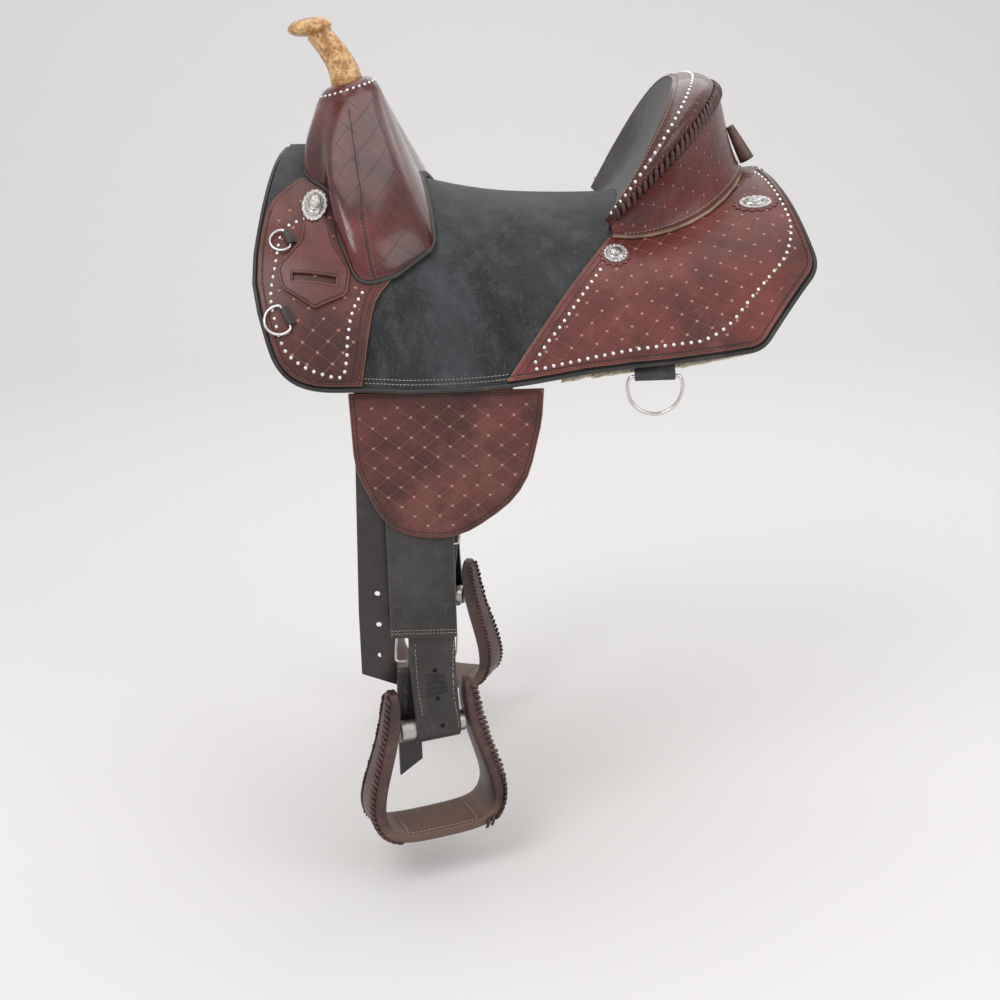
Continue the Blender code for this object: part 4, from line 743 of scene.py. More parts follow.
def tube_shape(name, path, radius, flat=1.0, sides=6):
    """A short thick thread along a path, thinner at its two ends."""
    points, faces = [], []
    count = len(path)
    for k, here in enumerate(path):
        here = Vector(here)
        travel = (Vector(path[min(k + 1, count - 1)]) - Vector(path[max(k - 1, 0)])).normalized()
        side = travel.cross(Vector((0, 0, 1))).normalized()
        up = side.cross(travel)
        thin = radius * (0.35 if k in (0, count - 1) else 1.0)
        for j in range(sides):
            turn = math.tau * j / sides
            points.append(here + side * math.cos(turn) * thin + up * math.sin(turn) * thin * flat)
    for k in range(count - 1):
        for j in range(sides):
            after = (j + 1) % sides
            faces.append((k * sides + j, k * sides + after, (k + 1) * sides + after,
                          (k + 1) * sides + j))
    faces += [tuple(range(sides))[::-1], tuple(range((count - 1) * sides, count * sides))]
    return shape_mesh(name, [tuple(p) for p in points], faces)


def stitch_shape(length, radius):
    """One stitch, whose two ends dip into the leather."""
    half = length / 2
    path = [(-half, 0, -0.3 * radius), (-0.7 * half, 0, 0.5 * radius), (0, 0, 0.8 * radius),
            (0.7 * half, 0, 0.5 * radius), (half, 0, -0.3 * radius)]
    return tube_shape("stitch", path, radius)


def crescent_shape(radius, thread):
    """One crescent of a stamped border."""
    path = [
        (radius * math.cos(a), radius * math.sin(a), 0.0)
        for a in (math.radians(200 + 20 * k) for k in range(8))
    ]
    return tube_shape("crescent", path, thread, 0.6)


def braid_shape(length, radius):
    """One plump turn of a twisted lace."""
    half = length / 2
    path = [
        (half * t, 0, radius * (0.75 - 0.95 * t * t)) for t in (-1, -0.7, -0.35, 0, 0.35, 0.7, 1)
    ]
    return tube_shape("braid", path, radius, 0.75, 8)


ROWS_TREE = "Rows of shapes"


def rows_tree():
    """Sets a shape on every point of a row, upright on the leather and turned along the row."""
    tree = bpy.data.node_groups.new(ROWS_TREE, "GeometryNodeTree")
    for name, kind, way in (
        ("Geometry", "NodeSocketGeometry", "INPUT"), ("Shape", "NodeSocketObject", "INPUT"),
        ("Material", "NodeSocketMaterial", "INPUT"), ("Geometry", "NodeSocketGeometry", "OUTPUT"),
    ):
        tree.interface.new_socket(name, in_out=way, socket_type=kind)

    def node(kind, **settings):
        made = tree.nodes.new(kind)
        for key, value in settings.items():
            setattr(made, key, value)
        return made
    link = tree.links.new
    source, sink = node("NodeGroupInput"), node("NodeGroupOutput")
    out = node("GeometryNodeInputNamedAttribute", data_type="FLOAT_VECTOR")
    out.inputs["Name"].default_value = "out"
    along = node("GeometryNodeInputNamedAttribute", data_type="FLOAT_VECTOR")
    along.inputs["Name"].default_value = "along"
    upright = node("FunctionNodeAlignRotationToVector", axis="Z")
    turned = node("FunctionNodeAlignRotationToVector", axis="X", pivot_axis="Z")
    shape = node("GeometryNodeObjectInfo", transform_space="ORIGINAL")
    place = node("GeometryNodeInstanceOnPoints")
    real = node("GeometryNodeRealizeInstances")
    paint = node("GeometryNodeSetMaterial")
    link(out.outputs["Attribute"], upright.inputs["Vector"])
    link(upright.outputs["Rotation"], turned.inputs["Rotation"])
    link(along.outputs["Attribute"], turned.inputs["Vector"])
    link(source.outputs["Shape"], shape.inputs["Object"])
    link(source.outputs["Geometry"], place.inputs["Points"])
    link(shape.outputs["Geometry"], place.inputs["Instance"])
    link(turned.outputs["Rotation"], place.inputs["Rotation"])
    link(place.outputs["Instances"], real.inputs["Geometry"])
    link(real.outputs["Geometry"], paint.inputs["Geometry"])
    link(source.outputs["Material"], paint.inputs["Material"])
    link(paint.outputs["Geometry"], sink.inputs["Geometry"])
    return tree


def row_of(name, body, shape, material, places):
    """One piece of small shapes at places of (point, outwards, along)."""
    tree = bpy.data.node_groups.get(ROWS_TREE) or rows_tree()
    material = finish_for(material)
    pattern = bpy.data.objects.new(name + "_shape", shape)
    mesh = bpy.data.meshes.new(name)
    mesh.from_pydata([tuple(p[0]) for p in places], [], [])
    for key, index in (("out", 1), ("along", 2)):
        layer = mesh.attributes.new(key, "FLOAT_VECTOR", "POINT")
        vectors = np.array([p[index][:] for p in places], np.float32)
        layer.data.foreach_set("vector", vectors.ravel())
    obj = bpy.data.objects.new(name, mesh)
    bpy.context.scene.collection.objects.link(obj)
    rows = obj.modifiers.new("rows", "NODES")
    rows.node_group = tree
    ports = {item.name: item.identifier for item in tree.interface.items_tree
             if item.in_out == "INPUT"}
    rows[ports["Shape"]] = pattern
    rows[ports["Material"]] = material
    applied(obj)
    bpy.data.objects.remove(pattern, do_unlink=True)
    for key in ("out", "along"):
        if key in obj.data.attributes:
            obj.data.attributes.remove(obj.data.attributes[key])
    if not obj.data.materials:
        obj.data.materials.append(material)
    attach(obj, body)


def evenly(points, spacing, closed=False):
    """Points at an even spacing along a run."""
    points = [Vector(p) for p in points]
    if closed:
        points = points + points[:1]
    runs = [0.0]
    for a, b in zip(points, points[1:]):
        runs.append(runs[-1] + (b - a).length)
    count = max(2, round(runs[-1] / spacing) + (0 if closed else 1))
    total = count if closed else count - 1
    result = []
    i = 0
    for k in range(count):
        run = runs[-1] * k / total
        while i < len(points) - 2 and runs[i + 1] < run:
            i += 1
        span = runs[i + 1] - runs[i]
        result.append(points[i].lerp(points[i + 1], (run - runs[i]) / span if span else 0.0))
    return result


def with_frames(points, outs, closed=False, skew=0.0):
    """Places for a row from its points and outward directions."""
    places = []
    count = len(points)
    for k, (point, out) in enumerate(zip(points, outs)):
        ahead = points[(k + 1) % count] if closed else points[min(k + 1, count - 1)]
        behind = points[k - 1] if closed or k else points[0]
        along = Vector(ahead) - Vector(behind)
        out = Vector(out).normalized()
        along = (along - out * along.dot(out)).normalized()
        if skew:
            along = Matrix.Rotation(skew, 3, out) @ along
        places.append((Vector(point), out, along))
    return places


def draped_row(run, spacing, lift, side, closed=False, skew=0.0):
    """Places along a run of the flat pattern, laid on one side of the body."""
    spots = evenly(run, spacing, closed)
    points, outs = drape([p[:2] for p in spots], lift, side)
    return with_frames([Vector(p) for p in points], [Vector(o) for o in outs], closed, skew)


class Skin:
    """The outer face of a finished piece, to lay rows on."""

    def __init__(self, obj):
        shape = bmesh.new()
        shape.from_mesh(obj.data)
        self.tree = BVHTree.FromBMesh(shape)
        shape.free()

    def row(self, points, spacing, lift=0.0, closed=False, skew=0.0):
        """Places along a run of points, moved onto the skin."""
        spots, outs = [], []
        for point in evenly(points, spacing, closed):
            found, normal, _, _ = self.tree.find_nearest(point)
            spots.append(found + normal * lift)
            outs.append(normal)
        return with_frames(spots, outs, closed, skew)

    def near(self, points, lift):
        """Points of a run moved onto the skin and lifted off it."""
        found = [self.tree.find_nearest(point) for point in points]
        return [spot + normal * lift for spot, normal, _, _ in found]


# Pommel and cantle surfaces

POMMEL_FOOT = (
    (-0.2665, 0.000, 0.000), (-0.2660, 0.100, 0.030), (-0.2310, 0.125, 0.030),
    (-0.2250, 0.185, 0.040), (-0.2020, 0.243, 0.036), (-0.1600, 0.219, 0.045),
    (-0.1150, 0.168, 0.030), (-0.1210, 0.110, 0.060), (-0.1370, 0.000, 0.000),
)
COLLAR_CENTRE = Vector((-0.218, 0.0, 0.151))
COLLAR_TILT = math.radians(15)
COLLAR_HALF, NECK_HALF, NECK_RISE = (0.0395, 0.036), (0.0208, 0.0208), 0.015
FOOT_LIFT = 0.0055
POMMEL_THICK = 0.0030
RING_POINTS, RING_LEVELS, SEAM_TOP = 240, 44, 41
CANTLE_LIFT = 0.0095
CANTLE_SECTIONS, DISH_STEPS, BINDING_END, BACK_END = 96, 14, 34, 54
# Controls of the cubic curves from the cantle's corner to its middle.
RIM = ((0.130, 0.190, 0.085), (0.170, 0.120, 0.166), (0.174, 0.0, 0.160))
DISH_FOOT = ((0.088, 0.118), (0.098, 0.080), (0.106, 0.040), (0.106, 0.0))
BACK_FOOT = ((0.092, 0.138), (0.150, 0.155), (0.257, 0.125), (0.257, 0.0))


def collar_ring(centre, half_length, half_width, count):
    """A ring that leans as the pommel's collar does."""
    turns = np.arange(count) * math.tau / count
    run = -half_length * np.cos(turns)
    return np.stack([
        centre[0] + run * math.cos(COLLAR_TILT), -half_width * np.sin(turns),
        centre[2] + run * math.sin(COLLAR_TILT),
    ], axis=1)


def pommel_rings():
    """Rings up the pommel's outer skin, from its foot to the horn's opening."""
    count, levels = RING_POINTS, RING_LEVELS
    run = evenly([p.to_3d() for p in both_sides(rounded(POMMEL_FOOT))], 0.003, True)
    foot = drape([p[:2] for p in evenly_count(run, count)], FOOT_LIFT)[0]
    collar = collar_ring(COLLAR_CENTRE, *COLLAR_HALF, count)
    neck = collar_ring(COLLAR_CENTRE + Vector((0, 0, NECK_RISE)), *NECK_HALF, count)
    turns = np.arange(count) * math.tau / count
    swell = 0.034 * np.abs(np.sin(turns)) ** 1.5 + 0.006 * np.maximum(0, np.cos(turns))
    out = np.stack([-0.4 * np.maximum(0, np.cos(turns)), -np.sin(turns), 0 * turns], axis=1)
    rings = []
    for level in range(levels + 1):
        t = level / levels
        rings.append(foot * (1 - t) + collar * t
                     + out * (swell * math.sin(math.pi * t ** 0.8))[:, None])
    for t in (0.25, 0.5, 0.75, 1.0):
        rise = 0.0053 * math.sin(math.pi * t) * (1 - 0.2 * t)
        rings.append(collar * (1 - t) + neck * t + np.array([0, 0, rise]))
    return np.array(rings)


def evenly_count(points, count):
    """This many points at an even spacing along a closed run."""
    total = sum((b - a).length for a, b in zip(points, points[1:] + points[:1]))
    return evenly(points, total / count, True)[:count]


def curve_at(controls, t):
    """Points of a cubic curve."""
    a, b, c, d = (np.array(p, float) for p in controls)
    t = np.asarray(t)[..., None]
    u = 1 - t
    return u ** 3 * a + 3 * u * u * t * b + 3 * u * t * t * c + t ** 3 * d


def cantle_grid():
    """The cantle's outer skin: up the dish, over the crown and down the back, at each section."""
    back_steps = BACK_END - DISH_STEPS
    t = np.arange(CANTLE_SECTIONS + 1) / CANTLE_SECTIONS
    near = t <= 0.5
    u = np.where(near, 2 * t, 2 - 2 * t)
    foot = drape([(0.083, 0.126)], CANTLE_LIFT + 0.010)[0][0]
    rim = curve_at(((foot[0], -foot[1], foot[2]), *RIM), u)
    rim[:, 1] *= np.where(near, -1, 1)
    halves = np.stack([0 * u + 1, np.where(near, 1, -1)], 1)
    fronts, backs = (
        curve_at([(*p, 0.0) for p in run], u)[:, :2] * halves for run in (DISH_FOOT, BACK_FOOT)
    )
    front = drape(fronts, 0.0010)[0]
    back = drape(backs, CANTLE_LIFT)[0]
    rows = []
    for r, f, b in zip(rim, front, back):
        chord = r - f
        hollow = np.array([chord[2], 0.0, -chord[0]])
        hollow = hollow / np.linalg.norm(hollow) * 0.014 * min(1.0, np.linalg.norm(chord) / 0.12)
        share = np.arange(DISH_STEPS) / DISH_STEPS
        dish = f + share[:, None] * chord + np.sin(math.pi * share)[:, None] * hollow
        height = r[2] - b[2]
        out = np.array([b[0] - f[0], b[1] - f[1], 0.0])
        length = np.linalg.norm(out)
        reach = out / length * min(height * 0.72, length * 0.50)
        lift = np.array([0.0, 0.0, height])
        over = curve_at(
            (r, r + reach + lift * 0.17, b + lift * 0.63 - reach * 0.46, b),
            np.arange(back_steps + 1) / back_steps,
        )
        rows.append(np.vstack([dish, over]))
    return np.array(rows)


def grid_normals(grid, wraps=False):
    """Unit outward directions of a grid of points."""
    along = np.roll(grid, -1, 0) - np.roll(grid, 1, 0)
    if not wraps:
        along[0], along[-1] = grid[1] - grid[0], grid[-1] - grid[-2]
    across = np.gradient(grid, axis=1)
    normals = np.cross(along, across)
    normals /= np.maximum(np.linalg.norm(normals, axis=2), 1e-9)[..., None]
    middle = grid.reshape(-1, 3).mean(axis=0)
    centre = grid.shape[0] // 2, grid.shape[1] // 2
    if normals[centre] @ (grid[centre] - middle) < 0:
        normals = -normals
    return normals


def shell_mesh(name, outer, inner, pattern, wraps=False):
    """A shell between two grids, rows first, with UVs and the distance to its two long edges."""
    rows, columns = outer.shape[:2]
    back = rows * columns
    faces = []
    last = rows if wraps else rows - 1
    for r in range(last):
        for c in range(columns - 1):
            a, b = r * columns + c, ((r + 1) % rows) * columns + c
            faces += [(a, a + 1, b + 1, b), (a + back, b + back, b + 1 + back, a + 1 + back)]
        for c in (0, columns - 1):
            a, b = r * columns + c, ((r + 1) % rows) * columns + c
            faces.append((a, b, b + back, a + back))
    if not wraps:
        for r in (0, rows - 1):
            for c in range(columns - 1):
                a = r * columns + c
                faces.append((a, a + 1, a + 1 + back, a + back))
    steps = np.linalg.norm(np.diff(outer, axis=1), axis=2)
    run = np.concatenate([np.zeros((rows, 1)), np.cumsum(steps, axis=1)], axis=1)
    edge = np.minimum(run, run[:, -1:] - run).ravel()
    points = np.vstack([outer.reshape(-1, 3), inner.reshape(-1, 3)])
    return surface_mesh(name, points, faces, np.vstack([pattern, pattern]), np.tile(edge, 2))


def arc_pattern(grid):
    """Flat coordinates of a grid: the run along its rows' middle, and down each row."""
    middle = grid[:, grid.shape[1] // 2]
    along = np.concatenate([[0.0], np.cumsum(np.linalg.norm(np.diff(middle, axis=0), axis=1))])
    steps = np.linalg.norm(np.diff(grid, axis=1), axis=2)
    down = np.concatenate([np.zeros((len(grid), 1)), np.cumsum(steps, axis=1)], axis=1)
    return np.stack([np.broadcast_to(along[:, None], down.shape), down], axis=2).reshape(-1, 2)


# Pieces

HORN_FOOT, HORN_REACH, HORN_RISE = (-0.218, 0.1660), 0.034, 0.060
HORN_LEAN, HORN_BEND = 15, 25
HORN_RADIUS, HORN_TAPER = 0.0190, 0.0045
HORN_CAP, HORN_CAP_HALF = (-0.2595, 0, 0.2312), (0.0270, 0.0255, 0.0108)
HORN_CAP_TILT = math.radians(-8)
# Lower and upper faces, as heights above the seat cover; the flap's are off the fender's plane.
FLEECE = (-0.0261, -0.0151)
COVER = (-0.0035, 0.0)
KEEPER = (0.0055, 0.0100)
FENDER_PLANE = HALF_SPAN - 0.022
FLAP = (0.00215, 0.00565)
STIRRUP_TURN = math.radians(22)
ROLLER_X, ROLLER_OUT, ROLLER_Z = -0.139, FENDER_PLANE - 0.002, -0.583
LEATHER_BEVEL = 0.0012
ALL_SMOOTH = 179
FINE_STITCH, LONG_STITCH = (0.0030, 0.00045), (0.0034, 0.0005)
FINE_SPACING, LONG_SPACING = 0.0042, 0.0048
STAMP_SPACING = 0.0070
SPINE_MARGIN = 0.012
KEEPER_OUTLINE = (
    (-0.2355, 0.1800, 0.002), (-0.2300, 0.2000, 0.030), (-0.2120, 0.2270, 0.014),
    (-0.2150, 0.2560, 0.014), (-0.2515, 0.2780, 0.003), (-0.2880, 0.2560, 0.014),
    (-0.2925, 0.2310, 0.014), (-0.2670, 0.1990, 0.020), (-0.2645, 0.1800, 0.002),
    (-0.2635, 0.1620, 0.004), (-0.2610, 0.1400, 0.006), (-0.2450, 0.1400, 0.006),
    (-0.2425, 0.1620, 0.004),
)
KEEPER_SLOT = ((-0.2760, 0.2380), (-0.2270, 0.2380), (-0.2270, 0.2480), (-0.2760, 0.2480))
KEEPER_MIDDLE = -0.2515
KEEPER_BEND = 0.1800
BEND_REACH = 0.006
FLAP_OUTLINE = (
    (-0.218, -0.1615, 0.0), (-0.215, -0.252, 0.090), (-0.178, -0.333, 0.075),
    (-0.098, -0.342, 0.090), (-0.018, -0.287, 0.110), (0.003, -0.200, 0.100),
    (0.006, -0.1615, 0.0),
)
# Name, shape, finish, ends (x, z), spacing and turn of the rows on the stirrup leather's face.
PLY_ROWS = (
    ("band_front", lambda: stitch_shape(*LONG_STITCH), "thread", (-0.1535, -0.474),
     (-0.1480, -0.580), 0.0050, 0.0),
    ("band_rear", lambda: stitch_shape(*LONG_STITCH), "thread", (-0.1080, -0.474),
     (-0.1005, -0.580), 0.0050, 0.0),
    ("ribs", lambda: tube_shape("rib", [(-0.013, 0, 0), (-0.012, 0, 0.0004), (0.012, 0, 0.0004),
                                        (0.013, 0, 0)], 0.0009, 0.8),
     "edge", (-0.1288, -0.5135), (-0.1255, -0.5370), 0.0026, math.pi / 2),
    ("holes", lambda: dome(0.0030, 0.0004), "hole", (-0.1290, -0.5070), (-0.1225, -0.5770), 0.0350,
     0.0),
)
# Name, leather, column of the cantle's grid, points skipped at either end, shape, finish, slot,
# spacing, lift and turn of the cantle's rows.
CANTLE_ROWS = (
    ("lacing", "binding", 31, 3, lambda: braid_shape(0.0200, 0.0030), "lace", "binding_leather",
     0.0088, 0.0006, 0.9),
    ("front_stitches", "binding", 15, 2, lambda: stitch_shape(*LONG_STITCH), "thread",
     "binding_leather", LONG_SPACING, 0.0, 0.0),
    ("spots", "binding", 19, 2, lambda: dome(0.0024, 0.0016), "spot", "nickel", 0.0098, 0.0, 0.0),
    ("foot_stitches", "back", 53, 4, lambda: stitch_shape(*LONG_STITCH), "thread",
     "tooled_leather", LONG_SPACING, 0.0, 0.0),
)
# Edge of the stirrup, its way, how far in the lacing lies, length and radius of a turn, spacing.
LACINGS = (
    ("outer", 1, 0.0030, 0.0150, 0.0023, 0.0068), ("inner", -1, 0.0015, 0.0105, 0.0018, 0.0056),
)
SPOTS_FRONT = (
    (-.264, .167), (-.286, .180), (-.292, .199), (-.296, .228), (-.301, .263), (-.296, .294),
    (-.286, .326), (-.269, .342), (-.250, .350), (-.224, .351), (-.217, .332), (-.215, .305),
    (-.209, .273), (-.198, .249),
)
SPOTS_REAR = (
    (.075, .188), (.050, .225), (.026, .260), (.008, .283), (-.005, .308), (.024, .304),
    (.070, .295), (.115, .289), (.161, .288), (.189, .287), (.218, .273), (.243, .247),
    (.268, .220), (.288, .193), (.298, .151), (.292, .105), (.281, .055), (.273, .027),
)
# Place along and down from the roller, thickness and depth of a stirrup's leg.
STIRRUP_LEG = (
    (0.0500, -0.1295, 0.016, 0.068), (0.0715, -0.1200, 0.018, 0.064),
    (0.0795, -0.0960, 0.020, 0.056), (0.0755, -0.0700, 0.021, 0.048),
    (0.0655, -0.0380, 0.021, 0.041), (0.0560, -0.0080, 0.021, 0.036),
    (0.0500, 0.0250, 0.020, 0.033), (0.0485, 0.0470, 0.016, 0.028),
)
# Place (x, s), half sizes, crown and height above the panel of each concho.
CONCHOS = {
    "front": (-0.2530, 0.1510, 0.0145, 0.0240, 0.0075, 0.0052),
    "rear": (0.094, 0.166, 0.0140, 0.0140, 0.0055, 0.0),
    "oval": (0.262, 0.110, 0.0195, 0.0120, 0.0065, 0.0),
}
MATERIALS = {}


def finish_for(name):
    """The material of a kind, made once."""
    if name not in MATERIALS:
        MATERIALS[name] = MAKERS[name]()
    return MATERIALS[name]


def grid_of(first, turn_a, second, turn_b):
    """The two sides of a diamond grid, from their lengths and their angles in degrees."""
    return (first, math.radians(turn_a)), (second, math.radians(turn_b))


def settings():
    """The values that the sidebar shows."""
    return bpy.context.scene.saddle


PANEL_GRID = grid_of(0.0195, 31.6, 0.0188, 130)
# A grid so wide that its lines miss the keepers.
PLAIN_GRID = grid_of(1.0, 0, 1.0, 90)
MAKERS = {
    "rear": lambda: tooled(
        "tooled rear", settings().chestnut, (.085, .022, .017), (.30, .11, .085), PANEL_GRID, .013
    ),
    "front": lambda: tooled(
        "tooled front", (.140, .036, .029), (.06, .018, .015), (.25, .095, .075), PANEL_GRID, .013
    ),
    "flap": lambda: tooled(
        "tooled flap", (.150, .040, .031), (.062, .019, .015), (.26, .10, .075),
        grid_of(0.019, 39, 0.019, 141), .009,
    ),
    "pommel": lambda: tooled(
        "tooled pommel", (.135, .021, .016), (.050, .010, .008), (.22, .055, .042),
        grid_of(0.026, 40, 0.026, 140), .006, .0011, .17, lines_in=(.045, .011, .009),
        dots_in=(.030, .010, .009), coat=.75,
    ),
    "cantle": lambda: tooled(
        "tooled cantle", (.160, .034, .027), (.075, .018, .015), (.27, .10, .08),
        grid_of(0.020, 45, 0.020, 135), .006, .0010, .26, lines_in=(.13, .035, .030),
        dots_in=(.42, .24, .20), coat=.3,
    ),
    "binding": lambda: tooled(
        "cantle binding", (.115, .030, .025), (.045, .013, .011), (.26, .11, .09),
        grid_of(0.014, 62, 0.014, 118), .004, .0014, .22, lines_in=(.045, .014, .012),
        dots_in=(.20, .08, .065), coat=.5,
    ),
    "keeper": lambda: tooled(
        "tooled keeper", (.165, .050, .042), (.085, .026, .022), (.30, .15, .13),
        PLAIN_GRID, .006, .0009, .28,
    ),
    "suede": lambda: suede("seat suede", (.036, .038, .041), (.012, .012, .013), (.072, .076, .083),
                           (1.0, 1.0, 0.22)),
    "dish": lambda: suede("dish suede", (.085, .082, .080), (.050, .048, .047), (.120, .116, .114)),
    "sleeve": lambda: suede("sleeve suede", (.052, .049, .048), (.024, .023, .022),
                            (.080, .076, .073)),
    "black": lambda: plain_leather("black leather", (.035, .032, .030), (.018, .017, .016),
                                   (.085, .075, .070), .48),
    "edge": lambda: plain_leather("bound edge", (.028, .024, .022), (.014, .013, .012),
                                  (.09, .07, .06), .38),
    "ply": lambda: plain_leather("stirrup leather", (.040, .033, .031), (.020, .017, .016),
                                 (.10, .085, .08), .45),
    "billet": lambda: plain_leather("billet leather", (.040, .030, .030), (.022, .018, .018),
                                    (.10, .08, .075), .4),
    "stirrup": lambda: plain_leather("stirrup leather brown", (.075, .033, .027),
                                     (.035, .016, .014), (.17, .10, .08), .42, worn_below=-.693),
    "roll": lambda: plain_leather("rolled tab", (.160, .080, .070), (.08, .04, .035),
                                  (.30, .18, .16), .4),
    "lace": lambda: plain_leather("lacing", (.085, .034, .029), (.035, .015, .013),
                                  (.24, .13, .11), .34, grain_size=3.0),
    "layer": lambda: plain_leather("layered edge", (.36, .25, .16), (.10, .06, .045),
                                   (.50, .38, .28), .7),
    "welt": lambda: plain_leather("dark welt", (.045, .042, .036), (.02, .02, .018),
                                  (.08, .08, .07), .5),
    "thread": lambda: plain_leather("pale thread", (.42, .36, .30), (.24, .19, .16),
                                    (.60, .54, .48), .8, 0.0),
    "brown_thread": lambda: plain_leather("brown thread", (.26, .14, .10), (.14, .07, .05),
                                          (.40, .26, .20), .8, 0.0),
    "stamp": lambda: plain_leather("stamped crescents", (.042, .014, .012), (.025, .009, .008),
                                   (.10, .04, .034), .45),
    "rosette": lambda: plain_leather("rosette leather", (.150, .030, .026), (.07, .014, .012),
                                     (.28, .08, .07), .35),
    "hole": lambda: plain_leather("hole shade", (.004, .004, .004), (.003, .003, .003),
                                  (.008, .008, .008), .9, 0.0),
    "rawhide": lambda: rawhide("rawhide"),
    "fleece": lambda: fleece("fleece"),
    "felt": lambda: felt("padding felt", (.12, .11, .10)),
    "nickel": lambda: metal("nickel", (.72, .70, .68), .24),
    "steel": lambda: metal("steel", (.50, .49, .47), .34, .2),
    "spot": lambda: metal("spot silver", (.80, .79, .77), .17),
    "engraved": lambda: engraved("engraved silver"),
}


def engraved(name):
    """Silver with a dark engraved scroll and rim."""
    paint = Paint(name)
    scroll = paint.noise(420, 2.0, 0.5, distort=1.8)
    cut = abs(scroll - 0.5).below(0.035, 0.03)
    edge = paint.attribute("edge")
    centre = edge.math("GREATER_THAN", 0.5)
    ring = abs(edge - 0.5).below(0.02, 0.03)
    shade = paint.mix(cut * centre * 0.8, (.72, .70, .68), (.05, .045, .04))
    shade = paint.mix(ring * 0.8, shade, (.05, .045, .04))
    rough = (scroll * 0.2 + 0.16 + cut * 0.2).clipped()
    return paint.finish(shade, rough, cut * -0.6 + scroll * 0.1 - ring * 0.5, 0.0005, metallic=1.0)


SLOT_FINISH = {
    "tooled_leather": "front", "binding_leather": "binding", "suede": "suede",
    "black_leather": "black", "strap_leather": "billet", "stirrup_leather": "stirrup",
    "fleece": "fleece", "felt": "felt", "rawhide": "rawhide", "core": "felt", "steel": "steel",
    "nickel": "nickel",
}


def paint_frame():
    """Gives every solid of the model the finish of its slot."""
    slots = {row["node"]: row["material_slot"] for row in frame["record"]["subparts"]}
    for node, obj in NODES.items():
        material = finish_for(SLOT_FINISH.get(slots.get(node), "black"))
        for place in obj.material_slots:
            place.material = material
        if not obj.material_slots:
            raise RuntimeError(f"{node} has no material slot")


def layer(name, inside, holes, heights, side, material, body, *nodes, slot, step, edges=(),
          bevel=LEATHER_BEVEL):
    """A draped sheet on one side of the body."""
    mesh = sheet_mesh(
        name, inside, holes, *heights, step, lambda flat, lift: drape(flat, lift, side)[0], edges,
    )
    obj = new_piece(name, mesh, body, material, *nodes, slot=slot)
    return softened(obj, bevel) if bevel else obj


def clipped(run, inside):
    """The stretches of a run of points that lie inside a test."""
    stretches, now = [], []
    for point in run:
        if inside(point):
            now.append(point)
        else:
            if len(now) > 3:
                stretches.append(now)
            now = []
    if len(now) > 3:
        stretches.append(now)
    return stretches


def within(point, outline):
    """Whether a point lies inside a closed outline."""
    result = False
    for a, b in zip(outline, outline[1:] + outline[:1]):
        if (a[1] > point[1]) != (b[1] > point[1]):
            if point[0] < (b[0] - a[0]) * (point[1] - a[1]) / (b[1] - a[1]) + a[0]:
                result = not result
    return result


def make_seat():
    """Suede over the seat and both skirts in one sheet."""
    mesh = sheet_mesh(
        "seat_suede", [skirt()], [], *COVER, settings().mesh_step + 0.001,
        lambda flat, lift: drape(flat, lift)[0],
    )
    obj = new_piece("seat_suede", mesh, "saddle", "suede", "seat_cover", slot="suede")
    softened(obj, LEATHER_BEVEL)


def make_panels():
    """Tooled leather on the skirts' front and rear, with a suede yoke at the front."""
    leather = divided(rounded(FRONT_LEATHER))
    for side, word in SIDES:
        for name, region in (("front", FRONT_REGION), ("rear", REAR_REGION)):
            outline = divided(rounded(region))
            shape = [skirt(PANEL_MARGIN), one_side(0.00035), outline]
            edges = (skirt(PANEL_MARGIN), outline)
            if name == "front":
                layer(
                    f"front_yoke_{word}", shape, [inset(leather, -0.0002)],
                    (PANEL_BOTTOM, PANEL_TOP), side, "suede", "saddle", slot="suede", bevel=0.0,
                    step=0.010,
                )
                shape.append(leather)
                edges += (leather,)
            layer(
                f"{name}_panel_{word}_leather", shape, [], (PANEL_BOTTOM, PANEL_TOP), side, name,
                "saddle", f"{name}_panel_{word}", slot="tooled_leather", edges=edges,
                step=settings().mesh_step,
            )


def make_bound_edge():
    """Black binding rolled over the edge of the suede, all the way round."""
    spots = evenly([p.to_3d() for p in skirt(0.0015)], 0.006, True)
    points = drape([p[:2] for p in spots], -0.0008)[0]
    tube("skirt_binding", [Vector(p) for p in points], 0.0028, "edge", "black_leather", True)


def tube(name, path, radius, material, slot, closed=False, sides=8):
    """A round strip of leather along a path on the saddle."""
    count = len(path)
    rings, frame_up = [], None
    for k, here in enumerate(path):
        ahead = path[(k + 1) % count] if closed else path[min(k + 1, count - 1)]
        behind = path[k - 1] if closed or k else path[0]
        travel = (ahead - behind).normalized()
        if frame_up is None:
            frame_up = travel.orthogonal().normalized()
        frame_up = (frame_up - travel * frame_up.dot(travel)).normalized()
        side = travel.cross(frame_up)
        rings.append([
            here + frame_up * math.cos(math.tau * j / sides) * radius
            + side * math.sin(math.tau * j / sides) * radius
            for j in range(sides)
        ])
    shift = 0
    if closed:
        gaps = [
            sum((rings[-1][j] - rings[0][(j + s) % sides]).length for j in range(sides))
            for s in range(sides)
        ]
        shift = gaps.index(min(gaps))
    faces = []
    for k in range(count if closed else count - 1):
        turn = shift if k == count - 1 else 0
        for j in range(sides):
            low, after = k * sides, ((k + 1) % count) * sides
            faces.append((
                low + j, low + (j + 1) % sides, after + (j + 1 + turn) % sides,
                after + (j + turn) % sides,
            ))
    if not closed:
        faces += [tuple(range(sides)), tuple(range((count - 1) * sides, count * sides))]
    mesh = surface_mesh(name, [p for ring in rings for p in ring], faces, smooth=60)
    new_piece(name, mesh, "saddle", material, slot=slot)


